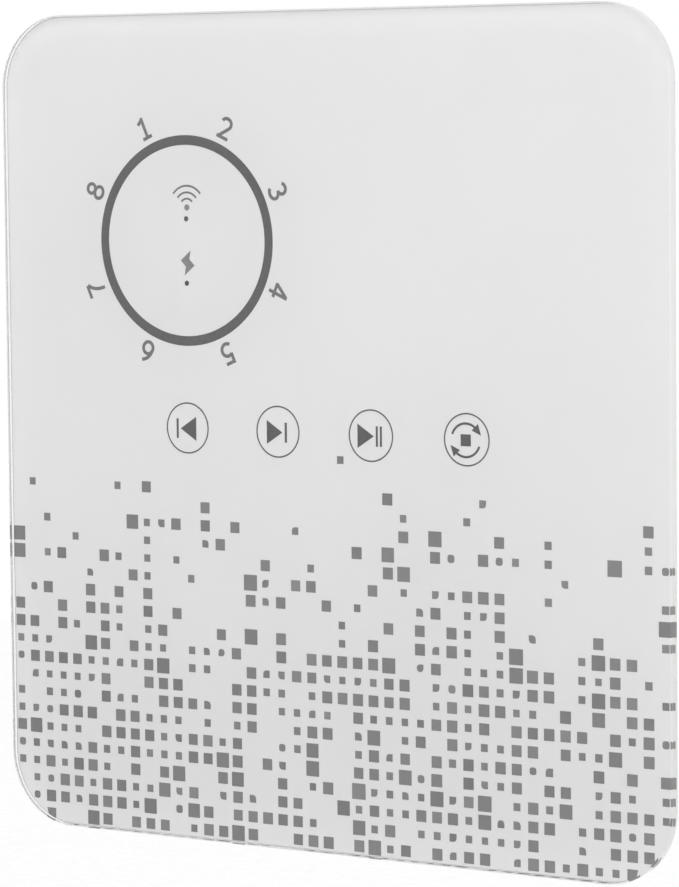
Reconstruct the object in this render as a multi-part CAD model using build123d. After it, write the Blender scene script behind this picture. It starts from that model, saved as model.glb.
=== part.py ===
from build123d import *
from math import sqrt
import os

os.makedirs("parts", exist_ok=True)

# A wall-hung shower speaker with a flat glass touch front.
# Millimetres. +X is to the right as seen from the front, +Z is up, and the wall is the plane Y = 0.
# The origin is the centre of the wall bracket's back face. The front faces -Y.
# "Out" values are distances from the wall, measured towards the front. "Height" values along Z
# are measured from the middle of the front panel unless a comment says otherwise.

# Front panel
PANEL_DROP = 22.0          # the panel's middle hangs this far below the bracket's middle
GLASS_WIDTH = 200.0
GLASS_HEIGHT = 213.0
GLASS_CORNER = 19.0
GLASS_THICK = 3.0
GLASS_CHAMFER = 0.4
FILM_THICK = 0.2
FILM_INSET = 0.6
TAPE_THICK = 0.8

# Case
FRAME_INSET = 6.0          # the front frame stands back from the glass edge by this much
FRAME_CORNER = 14.0
FRAME_THICK = 3.5
FRAME_LIP = 2.0
HOUSING_WIDTH = 156.0
HOUSING_HEIGHT = 164.0
HOUSING_CORNER = 14.0
HOUSING_EDGE_ROUND = 4.0
WALL = 2.5
BACK_OUT = 9.0             # the housing's back stands this far off the wall
RIM_OUT = 37.5             # the housing's front rim
SEAL_WIDTH = 1.2
SEAL_DEPTH = 1.0
SEAL_CLEARANCE = 0.05

# Levels, counted out from the wall
INNER_BACK_OUT = BACK_OUT + WALL
FRAME_FRONT_OUT = RIM_OUT + FRAME_THICK
FILM_BACK_OUT = FRAME_FRONT_OUT + TAPE_THICK
GLASS_BACK_OUT = FILM_BACK_OUT + FILM_THICK
GLASS_FRONT_OUT = GLASS_BACK_OUT + GLASS_THICK
INNER_SIDE = HOUSING_WIDTH / 2 - WALL
INNER_END = HOUSING_HEIGHT / 2 - WALL

# Case screws and their bosses
CASE_BOSS_RADIUS = 4.0
CASE_BOSS_TOP_OUT = 33.3
FRAME_BOSS_RADIUS = 3.4
FRAME_BOSS_OUT = 33.5
CASE_SCREW_SEAT_OUT = 29.3
CASE_SCREW_TIP_OUT = 39.2
CASE_SCREW_RADIUS = 1.5
CASE_HEAD_RADIUS = 2.8
CASE_HEAD_HEIGHT = 2.3
CASE_HEAD_CLEARANCE = 0.3
CASE_SHANK_CLEARANCE = 0.2
THREAD_CLEARANCE = 0.05
SOCKET_RECESS_RADIUS = 1.3
SOCKET_RECESS_DEPTH = 1.2
CORNER_BOSS = (69.5, 73.5)
MIDDLE_BOSS_HEIGHT = 75.7
CASE_SCREW_PLACES = [
    (-CORNER_BOSS[0], CORNER_BOSS[1]),
    (CORNER_BOSS[0], CORNER_BOSS[1]),
    (-CORNER_BOSS[0], -CORNER_BOSS[1]),
    (CORNER_BOSS[0], -CORNER_BOSS[1]),
    (0, MIDDLE_BOSS_HEIGHT),
    (0, -MIDDLE_BOSS_HEIGHT),
]

# Wall bracket and hanger, with heights from the bracket's middle
SHEET = 2.0
BRACKET_WIDTH = 90.0
BRACKET_HEIGHT = 76.0
BRACKET_CORNER = 6.0
OUTER_BEND = 2.0
INNER_BEND = 0.5
WALL_SCREW_SPACING = 60.0
WALL_SCREW_HOLE_RADIUS = 2.25
HOOK_WIDTH = 60.0
HOOK_GAP = 4.0
HOOK_RISE = 10.0
HANGER_WIDTH = 96.0
HANGER_LOW = 8.0
HANGER_TOP = 52.0
HANGER_CORNER = 5.0
HANGER_LIP_WIDTH = 54.0
HANGER_LIP_OUT = 1.0
HANGER_LIP_LOW = 38.6
HANGER_SCREW_X = 42.0
HANGER_SCREW_HEIGHTS = (16.0, 44.0)
SMALL_SCREW_RADIUS = 1.2
SMALL_HOLE_RADIUS = 1.25
COUNTERSINK_RADIUS = 2.6
COUNTERSINK_LAND = 0.6     # straight part of the hole below the countersink
SHANK_CLEARANCE = 0.1
HANGER_SHANK_LENGTH = 8.0
HANGER_BOSS_RADIUS = 3.5
HANGER_BOSS_RISE = 6.0
HANGER_BOSS_BORE = 5.0
BUMPER_PLACE = (60.0, -70.0)
BUMPER_RADIUS = 6.0
BUMPER_STEM_RADIUS = 2.4
BUMPER_CHAMFER = 0.8

# Side drivers, in their own frame: local Z points out of the side wall, from its inner face,
# and local X runs along the long side. Every racetrack outline shares the same two end centres.
DRIVER_OUT = 23.6
DRIVER_HEIGHT = 0.0
END_CENTRE = 23.2
FLANGE_HALF = 11.8
FLANGE_BACK = -5.4
FLANGE_FRONT = -4.0
BASKET_OUTER_HALF = 10.4
BASKET_INNER_HALF = 9.4
BASKET_BACK = -13.4
BASKET_FLOOR = -12.4
EAR_LENGTH = 86.0
EAR_WIDTH = 9.0
EAR_HOLE_X = 39.0
EAR_HOLE_RADIUS = 1.3
EAR_PAD_RADIUS = 3.2
EAR_SHANK_RADIUS = 1.1
EAR_THREAD_RADIUS = 1.15
EAR_HEAD_RADIUS = 2.1
EAR_SHANK_END = 1.2
EAR_THREAD_END = 1.4
BASKET_VENT_X = 20.0
BASKET_VENT_SIZE = (11.0, 30.0, 4.0)
BASKET_VENT_LEVEL = -9.0
SPACER_INNER_HALF = 10.2
ROLL_MIDDLE_HALF = 8.1
ROLL_RADIUS = 1.3
SURROUND_THICK = 0.4
SURROUND_OUTER_HALF = 10.1
SURROUND_INNER_HALF = 6.1
CONE_HALF = 7.2
CONE_THICK = 0.6
CAP_RADIUS = 5.2
CAP_HEIGHT = 1.4
COIL_INNER_RADIUS = 5.35
COIL_OUTER_RADIUS = 5.95
COIL_END = -13.6
CAP_THICK = 0.4
GLUE_GAP = 0.05
SPIDER_LEVEL = -9.0
SPIDER_RADIUS = 9.0
SPIDER_THICK = 0.3
SPIDER_SEAT = (0.6, -0.8)    # outer and inner edge of the spider's seat, from the spider's rim
YOKE_RADIUS = 7.9
YOKE_BORE_RADIUS = 6.4
YOKE_BACK = -18.6
YOKE_FLOOR = -17.1
POLE_RADIUS = 5.0
TOP_PLATE_THICK = 1.5
MESH_HALF = 9.6
MESH_THICK = 0.3
WINDOW_HALF = 8.5
GRILLE_HALF = 10.3
GRILLE_THICK = 1.2
GRILLE_RECESS = 1.3
GRILLE_SLOT = 2.2
GRILLE_PITCH = 4.0
GRILLE_SLOTS = 15
GRILLE_BORDER = 2.2

# Rear passive radiator, in its own frame: local Z points to the wall, from the back wall's inner face
RADIATOR_HEIGHT = -46.0
RADIATOR_FRAME_RADIUS = 23.0
RADIATOR_BORE_RADIUS = 20.0
RADIATOR_LEDGE_RADIUS = 18.0
RADIATOR_FRAME_BACK = -7.5
RADIATOR_SEAT = -6.3
RADIATOR_ROLL_MIDDLE = 15.5
RADIATOR_ROLL_RADIUS = 2.5
RADIATOR_SURROUND_THICK = 0.5
RADIATOR_LIP_WIDTH = 1.5
RADIATOR_PLATE_RADIUS = 13.4
RADIATOR_PLATE_THICK = 1.5
RADIATOR_MASS_RADIUS = 8.0
RADIATOR_MASS_THICK = 3.0
REAR_SLOT = 3.0
REAR_SLOT_PITCH = 6.0
REAR_SLOTS = 5
REAR_SLOT_REACH = 17.0

# Touch board and light module
TOUCH_BOARD_SIZE = (180.0, 106.0)
TOUCH_BOARD_MIDDLE = 39.0
TOUCH_BOARD_THICK = 1.2
TOUCH_BOARD_CORNER = 3.0
POCKET_CLEARANCE = 0.3
POCKET_FLOOR_OUT = 40.2
RING_X = -42.1
RING_HEIGHT = 47.7
LIGHT_HOLE_RADIUS = 30.5
LIGHT_DISC_RADIUS = 30.2
BAFFLE_BASE_THICK = 0.8
BAFFLE_WALL = 1.4
BAFFLE_INNER_RADIUS = 25.0
ICON_TUBE_RADIUS = 3.0
ICON_TUBE_BORE = 2.0
ICON_LED_HEIGHTS = (5.6, -11.1)      # from the ring's centre
LED_RING_RADIUS = 26.9
LED_COUNT = 8
LED_FIRST_ANGLE = 22.5
LED_SIZE = (1.6, 1.6, 0.6)
LED_WINDOW = 2.2
LED_BOARD_RADIUS = 31.5
LED_BOARD_THICK = 1.2

# Main board
BOARD_SIZE = (90.0, 61.0)
BOARD_MIDDLE = -45.5
BOARD_OUT = 31.5
BOARD_THICK = 1.6
BOARD_POST_RADIUS = 3.0
BOARD_CORNER = 2.0
BOARD_HOLE_RADIUS = 1.4
BOARD_THREAD_DEPTH = 9.0
BOARD_NOTCH_GAP = 1.0
BOARD_SHANK_LENGTH = 8.0
PAN_HEAD_RADIUS = 2.2
PAN_HEAD_HEIGHT = 1.4
BATTERY_PLUG_X = (30.0, 38.0)
BATTERY_PLUG_UP = (-21.0, -16.0)
BATTERY_PLUG_DEEP = 4.0
FLEX_CLIP_X = (-10.0, 10.0)
FLEX_CLIP_UP = (-28.0, -24.0)
FLEX_CLIP_RISE = 1.5
SPEAKER_PLUG_X = (41.0, 45.0)
SPEAKER_PLUG_UP = (-43.0, -37.0)
SPEAKER_PLUG_DEEP = 3.0
CAN_X = (-39.0, -17.0)
CAN_UP = (-62.0, -46.0)
CAN_DEEP = 3.0
CAN_SHEET = 0.3
CAPACITOR_X = 31.0
CAPACITOR_HEIGHTS = (-58.0, -47.0)
CAPACITOR_RADIUS = 4.0
CAPACITOR_DEEP = 8.0
CAPACITOR_ROUND = 0.5
BOARD_POST_PLACES = [(-41.0, -72.0), (41.0, -72.0), (-41.0, -19.0), (41.0, -19.0)]
FLEX_WIDTH = 16.0
FLEX_THICK = 0.3
FLEX_DROP_HEIGHT = -10.0
FLEX_TAB = 8.0
FLEX_SLOT_X = (-9.0, 9.0)
FLEX_SLOT_UP = (-13.0, -8.0)

# Battery
PACK_LENGTH = 66.0
PACK_HEIGHT = 38.8
PACK_THICK = 19.2
PACK_MIDDLE = 42.0
PACK_OUT = 21.6
PACK_EDGE_ROUND = 0.8
PACK_RIB_GAP = 0.4
PACK_RIB_THICK = 1.6
PACK_RIB_TOP_OUT = 20.0
PACK_RIB_HALF = 12.0
CLAMP_WIDTH = 16.0
CLAMP_THICK = 2.0
CLAMP_FOOT_OUT = 13.5
CLAMP_FOOT_LENGTH = 9.2
CLAMP_SCREW_REACH = 25.5
CLAMP_SLACK = (0.2, 0.4)     # in front of the pack, and above and below it
CLAMP_THREAD_START = 0.8
CLAMP_SHANK_START = 1.0
WIRE_RADIUS = 0.7
WIRE_BEND = 2.4
WIRE_PITCH = 2.4

# Power button, with heights from the panel's middle
BUTTON_X = -25.0
BUTTON_OUT = 29.75
BUTTON_CAP = (12.0, 5.0)
BUTTON_CLEARANCE = 0.3
BUTTON_STAND = 0.8
BUTTON_CHAMFER = 0.4
BUTTON_FLANGE = (14.0, 7.0)
BUTTON_FLANGE_THICK = 1.0
BUTTON_REST_GAP = 0.05
BUTTON_POST_RADIUS = 1.3
PLUNGER_LOW = -75.0
PLUNGER_TOP = -72.5
PLUNGER_RADIUS = 1.2
PLUNGER_CLEARANCE = 0.1
SWITCH_LOW = -73.5
SWITCH_SIZE = (6.0, 3.5, 3.5)
SWITCH_BORE_DEPTH = 2.2

# Charging port
PORT_X = 25.0
PORT_OUT = 29.9
PORT_SIZE = (10.8, 5.0)
BEZEL_X = (12.0, 38.0)
BEZEL_OUT = (19.2, 36.2)
BEZEL_TOP = -76.5
BEZEL_FLANGE_X = (10.0, 40.0)
BEZEL_FLANGE_OUT = (17.5, 37.2)
BEZEL_FLANGE_TOP = -77.5
FLAP_HALF = 9.0
FLAP_THICK = 1.2
FLAP_END_OUT = 34.6
FLAP_GAP = 0.3
FLAP_LIP_HALF = 3.0
FLAP_LIP_DEEP = 1.2
FLAP_LIP_STAND = 0.6
FLAP_LIP_ROOT = 0.4
RECESS_BEHIND = 2.0
RECESS_SEAT = 0.1
BARREL_ROOM = (1.6, 1.5)     # free space in front of and above the hinge axis
HINGE_OUT = 22.6
HINGE_HEIGHT = -80.9
HINGE_BARREL_RADIUS = 1.1
HINGE_PIN_RADIUS = 0.6
HINGE_PIN_HALF = 10.4
HINGE_CLEARANCE = 0.06
PIN_CLEARANCE = 0.02
SOCKET_SIZE = (9.0, 3.2, 7.3)
SOCKET_LOW = -75.8
SOCKET_SHELL = 0.3
SOCKET_TONGUE = (6.6, 0.7, 4.6)
SOCKET_CORNER = 1.2
SOCKET_BACK = 1.0


def rounded(width, height, corner, x=0.0, up=0.0):
    """A rounded rectangle seen from the front."""
    return Pos(x, up) * RectangleRounded(width, height, corner)


def layer(outline, near, far):
    """A slab with a front-view outline, between two distances out from the wall."""
    return Pos(0, 0, -PANEL_DROP) * extrude(Plane.XZ.offset(near) * outline, far - near)


def block(x_range, out_range, up_range):
    """A plain box between two X values, two distances from the wall and two panel heights."""
    size = [b - a for a, b in (x_range, out_range, up_range)]
    middle = [(a + b) / 2 for a, b in (x_range, out_range, up_range)]
    return Pos(middle[0], -middle[1], middle[2] - PANEL_DROP) * Box(*size)


def upright_rod(x, out, low, top, radius):
    """A cylinder along Z between two panel heights."""
    middle = (low + top) / 2 - PANEL_DROP
    return Pos(x, -out, middle) * Cylinder(radius, top - low)


def between(low, top, outline):
    """A slab of a local outline between two local Z levels."""
    return extrude(Plane.XY.offset(low) * outline, top - low)


def racetrack(half):
    """A racetrack outline: the points within one distance of the line joining the end centres."""
    return SlotCenterToCenter(2 * END_CENTRE, 2 * half)


def ring_round(outer, inner):
    """A flat ring between two radii."""
    return Circle(outer) - Circle(inner)


def fused(pieces):
    """One solid from several that overlap or share faces."""
    whole = pieces[0]
    for piece in pieces[1:]:
        whole = whole + piece
    return whole


def group(pieces):
    """Separate identical solids kept together as one part."""
    return Compound(children=pieces)


# ---------------------------------------------------------------- wall bracket and hanger

def wall_bracket():
    """Steel plate with four screw holes; its top edge steps out and up into a hook."""
    half = BRACKET_HEIGHT / 2
    plate = Pos(0, -SHEET / 2, 0) * Box(BRACKET_WIDTH, SHEET, BRACKET_HEIGHT)
    plate = fillet(plate.edges().filter_by(Axis.Y), BRACKET_CORNER)
    hook_out = HOOK_GAP + SHEET
    web = Pos(0, -hook_out / 2, half - SHEET / 2) * Box(HOOK_WIDTH, hook_out, SHEET)
    lip_middle = half - SHEET + (HOOK_RISE + SHEET) / 2
    lip = Pos(0, -HOOK_GAP - SHEET / 2, lip_middle) * Box(HOOK_WIDTH, SHEET, HOOK_RISE + SHEET)
    bracket = fused([plate, web, lip])
    bracket = bend_round(bracket, -hook_out, half - SHEET, OUTER_BEND)
    bracket = bend_round(bracket, -HOOK_GAP, half, INNER_BEND)
    for place in GridLocations(WALL_SCREW_SPACING, WALL_SCREW_SPACING, 2, 2):
        hole = Plane.XZ * place * Circle(WALL_SCREW_HOLE_RADIUS)
        bracket = bracket - extrude(hole, SHEET)
    return bracket


def bend_round(sheet, y, z, radius):
    """Rounds the edges along X that lie at one Y and Z, as a sheet-metal bend does."""
    near = [e for e in sheet.edges().filter_by(Axis.X) if abs(e.center().Y - y) < 0.01]
    return fillet([e for e in near if abs(e.center().Z - z) < 0.01], radius)


def hanger_plate():
    """Steel plate on the housing's back; its top edge folds towards the wall and down."""
    height = HANGER_TOP - HANGER_LOW
    middle = (HANGER_TOP + HANGER_LOW) / 2
    plate = Pos(0, -BACK_OUT + SHEET / 2, middle) * Box(HANGER_WIDTH, SHEET, height)
    plate = fillet(plate.edges().filter_by(Axis.Y), HANGER_CORNER)
    reach = BACK_OUT - HANGER_LIP_OUT
    web_middle = HANGER_TOP - SHEET / 2
    web = Pos(0, -BACK_OUT + reach / 2, web_middle) * Box(HANGER_LIP_WIDTH, reach, SHEET)
    fold_height = HANGER_TOP - HANGER_LIP_LOW
    fold_middle = HANGER_LIP_LOW + fold_height / 2
    fold_y = -HANGER_LIP_OUT - SHEET / 2
    fold = Pos(0, fold_y, fold_middle) * Box(HANGER_LIP_WIDTH, SHEET, fold_height)
    hanger = fused([plate, web, fold])
    hanger = bend_round(hanger, -HANGER_LIP_OUT, HANGER_TOP, OUTER_BEND)
    hanger = bend_round(hanger, -HANGER_LIP_OUT - SHEET, HANGER_TOP - SHEET, INNER_BEND)
    for x, up in hanger_screw_places():
        hanger = hanger - Pos(x, -BACK_OUT, up) * countersunk_hole()
    return hanger


def hanger_screw_places():
    """X and bracket height of the four hanger screws."""
    return [(side * HANGER_SCREW_X, up) for side in (-1, 1) for up in HANGER_SCREW_HEIGHTS]


def countersunk_hole():
    """Hole through the hanger sheet, along Y from the housing's back, widening to the wall side."""
    bore = SMALL_HOLE_RADIUS + SHANK_CLEARANCE
    shank = Pos(0, SHEET / 2, 0) * Rot(90, 0, 0) * Cylinder(bore, SHEET)
    depth = SHEET - COUNTERSINK_LAND
    taper = Cone(bore, COUNTERSINK_RADIUS + SHANK_CLEARANCE, depth)
    return shank + Pos(0, SHEET - depth / 2, 0) * Rot(-90, 0, 0) * taper


def hanger_screws():
    """Four countersunk screws from the wall side into blind bosses in the housing."""
    screws = []
    depth = SHEET - COUNTERSINK_LAND
    length = HANGER_SHANK_LENGTH
    cone = Cone(SMALL_HOLE_RADIUS, COUNTERSINK_RADIUS, depth)
    rod = Cylinder(SMALL_SCREW_RADIUS, length)
    for x, up in hanger_screw_places():
        head = Pos(0, SHEET - depth / 2, 0) * Rot(-90, 0, 0) * cone
        shank = Pos(0, SHEET - depth / 2 - length / 2, 0) * Rot(90, 0, 0) * rod
        screws.append(Pos(x, -BACK_OUT, up) * (head + shank))
    return group(screws)


def wall_bumpers():
    """Two rubber feet that keep the lower half the same distance from the wall."""
    feet = []
    for side in (-1, 1):
        spot = Pos(side * BUMPER_PLACE[0], BUMPER_PLACE[1])
        foot = layer(spot * Circle(BUMPER_RADIUS), 0, BACK_OUT)
        foot = chamfer(foot.edges().group_by(Axis.Y)[-1], BUMPER_CHAMFER)
        stem = layer(spot * Circle(BUMPER_STEM_RADIUS), BACK_OUT, INNER_BACK_OUT + 1)
        feet.append(foot + stem)
    return group(feet)


# ---------------------------------------------------------------- case

def housing_bosses():
    """Posts inside the housing for the case, board, hanger and battery screws."""
    posts = []
    for x, up in CASE_SCREW_PLACES:
        posts.append(layer(Pos(x, up) * Circle(CASE_BOSS_RADIUS), INNER_BACK_OUT - 1, CASE_BOSS_TOP_OUT))
    for x, up in BOARD_POST_PLACES:
        posts.append(layer(Pos(x, up) * Circle(BOARD_POST_RADIUS), INNER_BACK_OUT - 1, BOARD_OUT))
    for x, up in hanger_screw_places():
        spot = Pos(x, up + PANEL_DROP)
        top = INNER_BACK_OUT + HANGER_BOSS_RISE
        posts.append(layer(spot * Circle(HANGER_BOSS_RADIUS), INNER_BACK_OUT - 1, top))
    for side in (-1, 1):
        spot = Pos(0, PACK_MIDDLE + side * CLAMP_SCREW_REACH)
        posts.append(layer(spot * Circle(HANGER_BOSS_RADIUS), INNER_BACK_OUT - 1, CLAMP_FOOT_OUT))
        near = side * (PACK_LENGTH / 2 + PACK_RIB_GAP)
        rib_x = sorted((near, near + side * PACK_RIB_THICK))
        rib_up = (PACK_MIDDLE - PACK_RIB_HALF, PACK_MIDDLE + PACK_RIB_HALF)
        posts.append(block(rib_x, (INNER_BACK_OUT - 1, PACK_RIB_TOP_OUT), rib_up))
    return posts


def housing_screw_holes():
    """Everything drilled along Y: counterbored case screws and blind thread holes."""
    holes = []
    for x, up in CASE_SCREW_PLACES:
        spot = Pos(x, up)
        holes.append(layer(spot * Circle(CASE_HEAD_RADIUS + CASE_HEAD_CLEARANCE), 0, CASE_SCREW_SEAT_OUT))
        holes.append(layer(spot * Circle(CASE_SCREW_RADIUS + CASE_SHANK_CLEARANCE), 0, RIM_OUT))
    for x, up in BOARD_POST_PLACES:
        bottom = BOARD_OUT - BOARD_THREAD_DEPTH
        holes.append(layer(Pos(x, up) * Circle(SMALL_HOLE_RADIUS), bottom, BOARD_OUT))
    for x, up in hanger_screw_places():
        spot = Pos(x, up + PANEL_DROP)
        holes.append(layer(spot * Circle(SMALL_HOLE_RADIUS), 0, INNER_BACK_OUT + HANGER_BOSS_BORE))
    for side in (-1, 1):
        spot = Pos(0, PACK_MIDDLE + side * CLAMP_SCREW_REACH)
        bottom = BACK_OUT + CLAMP_THREAD_START
        holes.append(layer(spot * Circle(SMALL_HOLE_RADIUS), bottom, CLAMP_FOOT_OUT))
        stem_spot = Pos(side * BUMPER_PLACE[0], BUMPER_PLACE[1])
        holes.append(layer(stem_spot * Circle(BUMPER_STEM_RADIUS + SHANK_CLEARANCE), 0, INNER_BACK_OUT))
    return holes


def rear_slots():
    """Sound slots in the back wall over the passive radiator, longer towards the middle."""
    slots = []
    for index in range(REAR_SLOTS):
        rise = (index - (REAR_SLOTS - 1) / 2) * REAR_SLOT_PITCH
        length = 2 * sqrt(REAR_SLOT_REACH ** 2 - rise ** 2)
        outline = Pos(0, RADIATOR_HEIGHT + rise) * SlotOverall(length, REAR_SLOT)
        slots.append(layer(outline, BACK_OUT, INNER_BACK_OUT))
    return slots


def rear_housing():
    """Moulded tub: holds every inner part, takes the side grilles and opens at its front rim."""
    outline = rounded(HOUSING_WIDTH, HOUSING_HEIGHT, HOUSING_CORNER)
    shell = layer(outline, BACK_OUT, RIM_OUT)
    shell = fillet(shell.edges().group_by(Axis.Y)[-1], HOUSING_EDGE_ROUND)
    inner = rounded(2 * INNER_SIDE, 2 * INNER_END, HOUSING_CORNER - WALL)
    shell = shell - layer(inner, INNER_BACK_OUT, RIM_OUT)
    shell = fused([shell] + housing_bosses())
    for side in (-1, 1):
        place = side_frame(side)
        shell = shell + place * driver_spacer()
        shell = shell - place * side_wall_cuts()
    shell = shell - block(BEZEL_X, BEZEL_OUT, (-HOUSING_HEIGHT / 2, -INNER_END))
    shell = shell - button_shape(BUTTON_CAP, BUTTON_CLEARANCE, -HOUSING_HEIGHT / 2, -INNER_END)
    return shell - housing_screw_holes() - rear_slots()


def front_frame():
    """Flat moulded frame behind the glass: pocket in front, lip, bosses and seal groove behind."""
    width = GLASS_WIDTH - 2 * FRAME_INSET
    height = GLASS_HEIGHT - 2 * FRAME_INSET
    outline = rounded(width, height, FRAME_CORNER)
    frame = layer(outline, RIM_OUT, FRAME_FRONT_OUT)
    inside = rounded(width - 2 * FRAME_LIP, height - 2 * FRAME_LIP, FRAME_CORNER - FRAME_LIP)
    frame = frame + layer(outline - inside, RIM_OUT - FRAME_LIP, RIM_OUT)
    for x, up in CASE_SCREW_PLACES:
        frame = frame + layer(Pos(x, up) * Circle(FRAME_BOSS_RADIUS), FRAME_BOSS_OUT, RIM_OUT + 1)
    frame = frame - layer(touch_outline(POCKET_CLEARANCE), POCKET_FLOOR_OUT, FRAME_FRONT_OUT)
    frame = frame - layer(light_spot() * Circle(LIGHT_HOLE_RADIUS), RIM_OUT, FRAME_FRONT_OUT)
    frame = frame - block(FLEX_SLOT_X, (RIM_OUT, FRAME_FRONT_OUT), FLEX_SLOT_UP)
    frame = frame - layer(seal_outline(SEAL_CLEARANCE), RIM_OUT, RIM_OUT + SEAL_DEPTH)
    for x, up in CASE_SCREW_PLACES:
        hole = Pos(x, up) * Circle(CASE_SCREW_RADIUS + THREAD_CLEARANCE)
        frame = frame - layer(hole, FRAME_BOSS_OUT, CASE_SCREW_TIP_OUT + CASE_SHANK_CLEARANCE)
    return frame


def seal_outline(extra=0.0):
    """Ring that follows the middle of the housing's rim."""
    middle_width = HOUSING_WIDTH - WALL
    middle_height = HOUSING_HEIGHT - WALL
    corner = HOUSING_CORNER - WALL / 2
    grow = SEAL_WIDTH / 2 + extra
    outer = rounded(middle_width + 2 * grow, middle_height + 2 * grow, corner + grow)
    inner = rounded(middle_width - 2 * grow, middle_height - 2 * grow, corner - grow)
    return outer - inner


def case_screws():
    """Six pan-head screws from the back, through the housing's posts into the front frame."""
    screws = []
    for x, up in CASE_SCREW_PLACES:
        head_start = CASE_SCREW_SEAT_OUT - CASE_HEAD_HEIGHT
        head = layer(Pos(x, up) * Circle(CASE_HEAD_RADIUS), head_start, CASE_SCREW_SEAT_OUT)
        socket = Pos(x, up) * RegularPolygon(SOCKET_RECESS_RADIUS, 6)
        recess = layer(socket, head_start, head_start + SOCKET_RECESS_DEPTH)
        shank = layer(Pos(x, up) * Circle(CASE_SCREW_RADIUS), CASE_SCREW_SEAT_OUT, CASE_SCREW_TIP_OUT)
        screws.append(head - recess + shank)
    return group(screws)


# ---------------------------------------------------------------- glass front and lights

def front_glass():
    """Tempered glass slab with polished chamfers round both faces."""
    glass = layer(rounded(GLASS_WIDTH, GLASS_HEIGHT, GLASS_CORNER), GLASS_BACK_OUT, GLASS_FRONT_OUT)
    rims = glass.edges().group_by(Axis.Y)
    return chamfer(rims[0] + rims[-1], GLASS_CHAMFER)


def print_film():
    """Printed film bonded to the back of the glass, just short of its edge."""
    width = GLASS_WIDTH - 2 * FILM_INSET
    height = GLASS_HEIGHT - 2 * FILM_INSET
    outline = rounded(width, height, GLASS_CORNER - FILM_INSET)
    return layer(outline, FILM_BACK_OUT, GLASS_BACK_OUT)


def touch_outline(extra=0.0):
    """Outline of the touch board, grown by a clearance."""
    width, height = TOUCH_BOARD_SIZE
    corner = TOUCH_BOARD_CORNER + extra
    return rounded(width + 2 * extra, height + 2 * extra, corner, 0, TOUCH_BOARD_MIDDLE)


def light_spot():
    """Place of the ring's centre in the front view."""
    return Pos(RING_X, RING_HEIGHT)


def glass_tape():
    """Foam adhesive sheet that bonds the glass to the frame and goes round the touch board."""
    width = GLASS_WIDTH - 2 * FRAME_INSET
    height = GLASS_HEIGHT - 2 * FRAME_INSET
    outline = rounded(width, height, FRAME_CORNER)
    return layer(outline - touch_outline(POCKET_CLEARANCE), FRAME_FRONT_OUT, FILM_BACK_OUT)


def touch_board():
    """Touch circuit board bonded behind the glass, with a round opening for the light module."""
    outline = touch_outline() - light_spot() * Circle(LIGHT_HOLE_RADIUS)
    return layer(outline, FILM_BACK_OUT - TOUCH_BOARD_THICK, FILM_BACK_OUT)


def diffuser_disc():
    """Milky disc behind the printed ring and the two small status symbols."""
    disc = light_spot() * Circle(LIGHT_DISC_RADIUS)
    return layer(disc, FILM_BACK_OUT - TOUCH_BOARD_THICK, FILM_BACK_OUT)


def led_places():
    """Eight places round the ring, one beside each digit, and one below each status symbol."""
    ring = PolarLocations(LED_RING_RADIUS, LED_COUNT, start_angle=LED_FIRST_ANGLE)
    icons = [Location((0, up, 0)) for up in ICON_LED_HEIGHTS]
    return list(ring) + icons


def light_baffle():
    """Walls that keep the ring's light apart from the light of the status symbols."""
    top = FILM_BACK_OUT - TOUCH_BOARD_THICK
    spot = light_spot()
    base = layer(spot * Circle(LIGHT_DISC_RADIUS), RIM_OUT, RIM_OUT + BAFFLE_BASE_THICK)
    outer = ring_round(LIGHT_DISC_RADIUS, LIGHT_DISC_RADIUS - BAFFLE_WALL)
    inner = ring_round(BAFFLE_INNER_RADIUS, BAFFLE_INNER_RADIUS - BAFFLE_WALL)
    baffle = base + layer(spot * outer, RIM_OUT, top) + layer(spot * inner, RIM_OUT, top)
    for up in ICON_LED_HEIGHTS:
        baffle = baffle + layer(spot * Pos(0, up) * Circle(ICON_TUBE_RADIUS), RIM_OUT, top)
        baffle = baffle - layer(spot * Pos(0, up) * Circle(ICON_TUBE_BORE), RIM_OUT, top)
    for place in led_places()[:LED_COUNT]:
        window = spot * place * Rectangle(LED_WINDOW, LED_WINDOW)
        baffle = baffle - layer(window, RIM_OUT, RIM_OUT + BAFFLE_BASE_THICK)
    return baffle


def led_board():
    """Round board that carries the lamps, bonded to the frame's back."""
    disc = light_spot() * Circle(LED_BOARD_RADIUS)
    return layer(disc, RIM_OUT - LED_BOARD_THICK, RIM_OUT)


def leds():
    """Ten surface-mounted lamps on the front of the round board."""
    width, height, rise = LED_SIZE
    lamps = []
    for place in led_places():
        outline = light_spot() * place * Rectangle(width, height)
        lamps.append(layer(outline, RIM_OUT, RIM_OUT + rise))
    return group(lamps)


# ---------------------------------------------------------------- main board

def main_board():
    """Circuit board with its soldered connectors for the battery and the two drivers."""
    top = BOARD_OUT + BOARD_THICK
    board = layer(rounded(*BOARD_SIZE, BOARD_CORNER, 0, BOARD_MIDDLE), BOARD_OUT, top)
    for x, up in BOARD_POST_PLACES:
        board = board - layer(Pos(x, up) * Circle(BOARD_HOLE_RADIUS), BOARD_OUT, top)
    notch = Pos(0, -MIDDLE_BOSS_HEIGHT) * Circle(CASE_BOSS_RADIUS + BOARD_NOTCH_GAP)
    board = board - layer(notch, BOARD_OUT, top)
    plug_out = (BOARD_OUT - BATTERY_PLUG_DEEP, BOARD_OUT)
    battery_plug = block(BATTERY_PLUG_X, plug_out, BATTERY_PLUG_UP)
    flex_clip = block(FLEX_CLIP_X, (top, top + FLEX_CLIP_RISE), FLEX_CLIP_UP)
    board = fused([board, battery_plug, flex_clip])
    for side in (-1, 1):
        ends = sorted(side * x for x in SPEAKER_PLUG_X)
        board = board + block(ends, (BOARD_OUT - SPEAKER_PLUG_DEEP, BOARD_OUT), SPEAKER_PLUG_UP)
    return board


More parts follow.
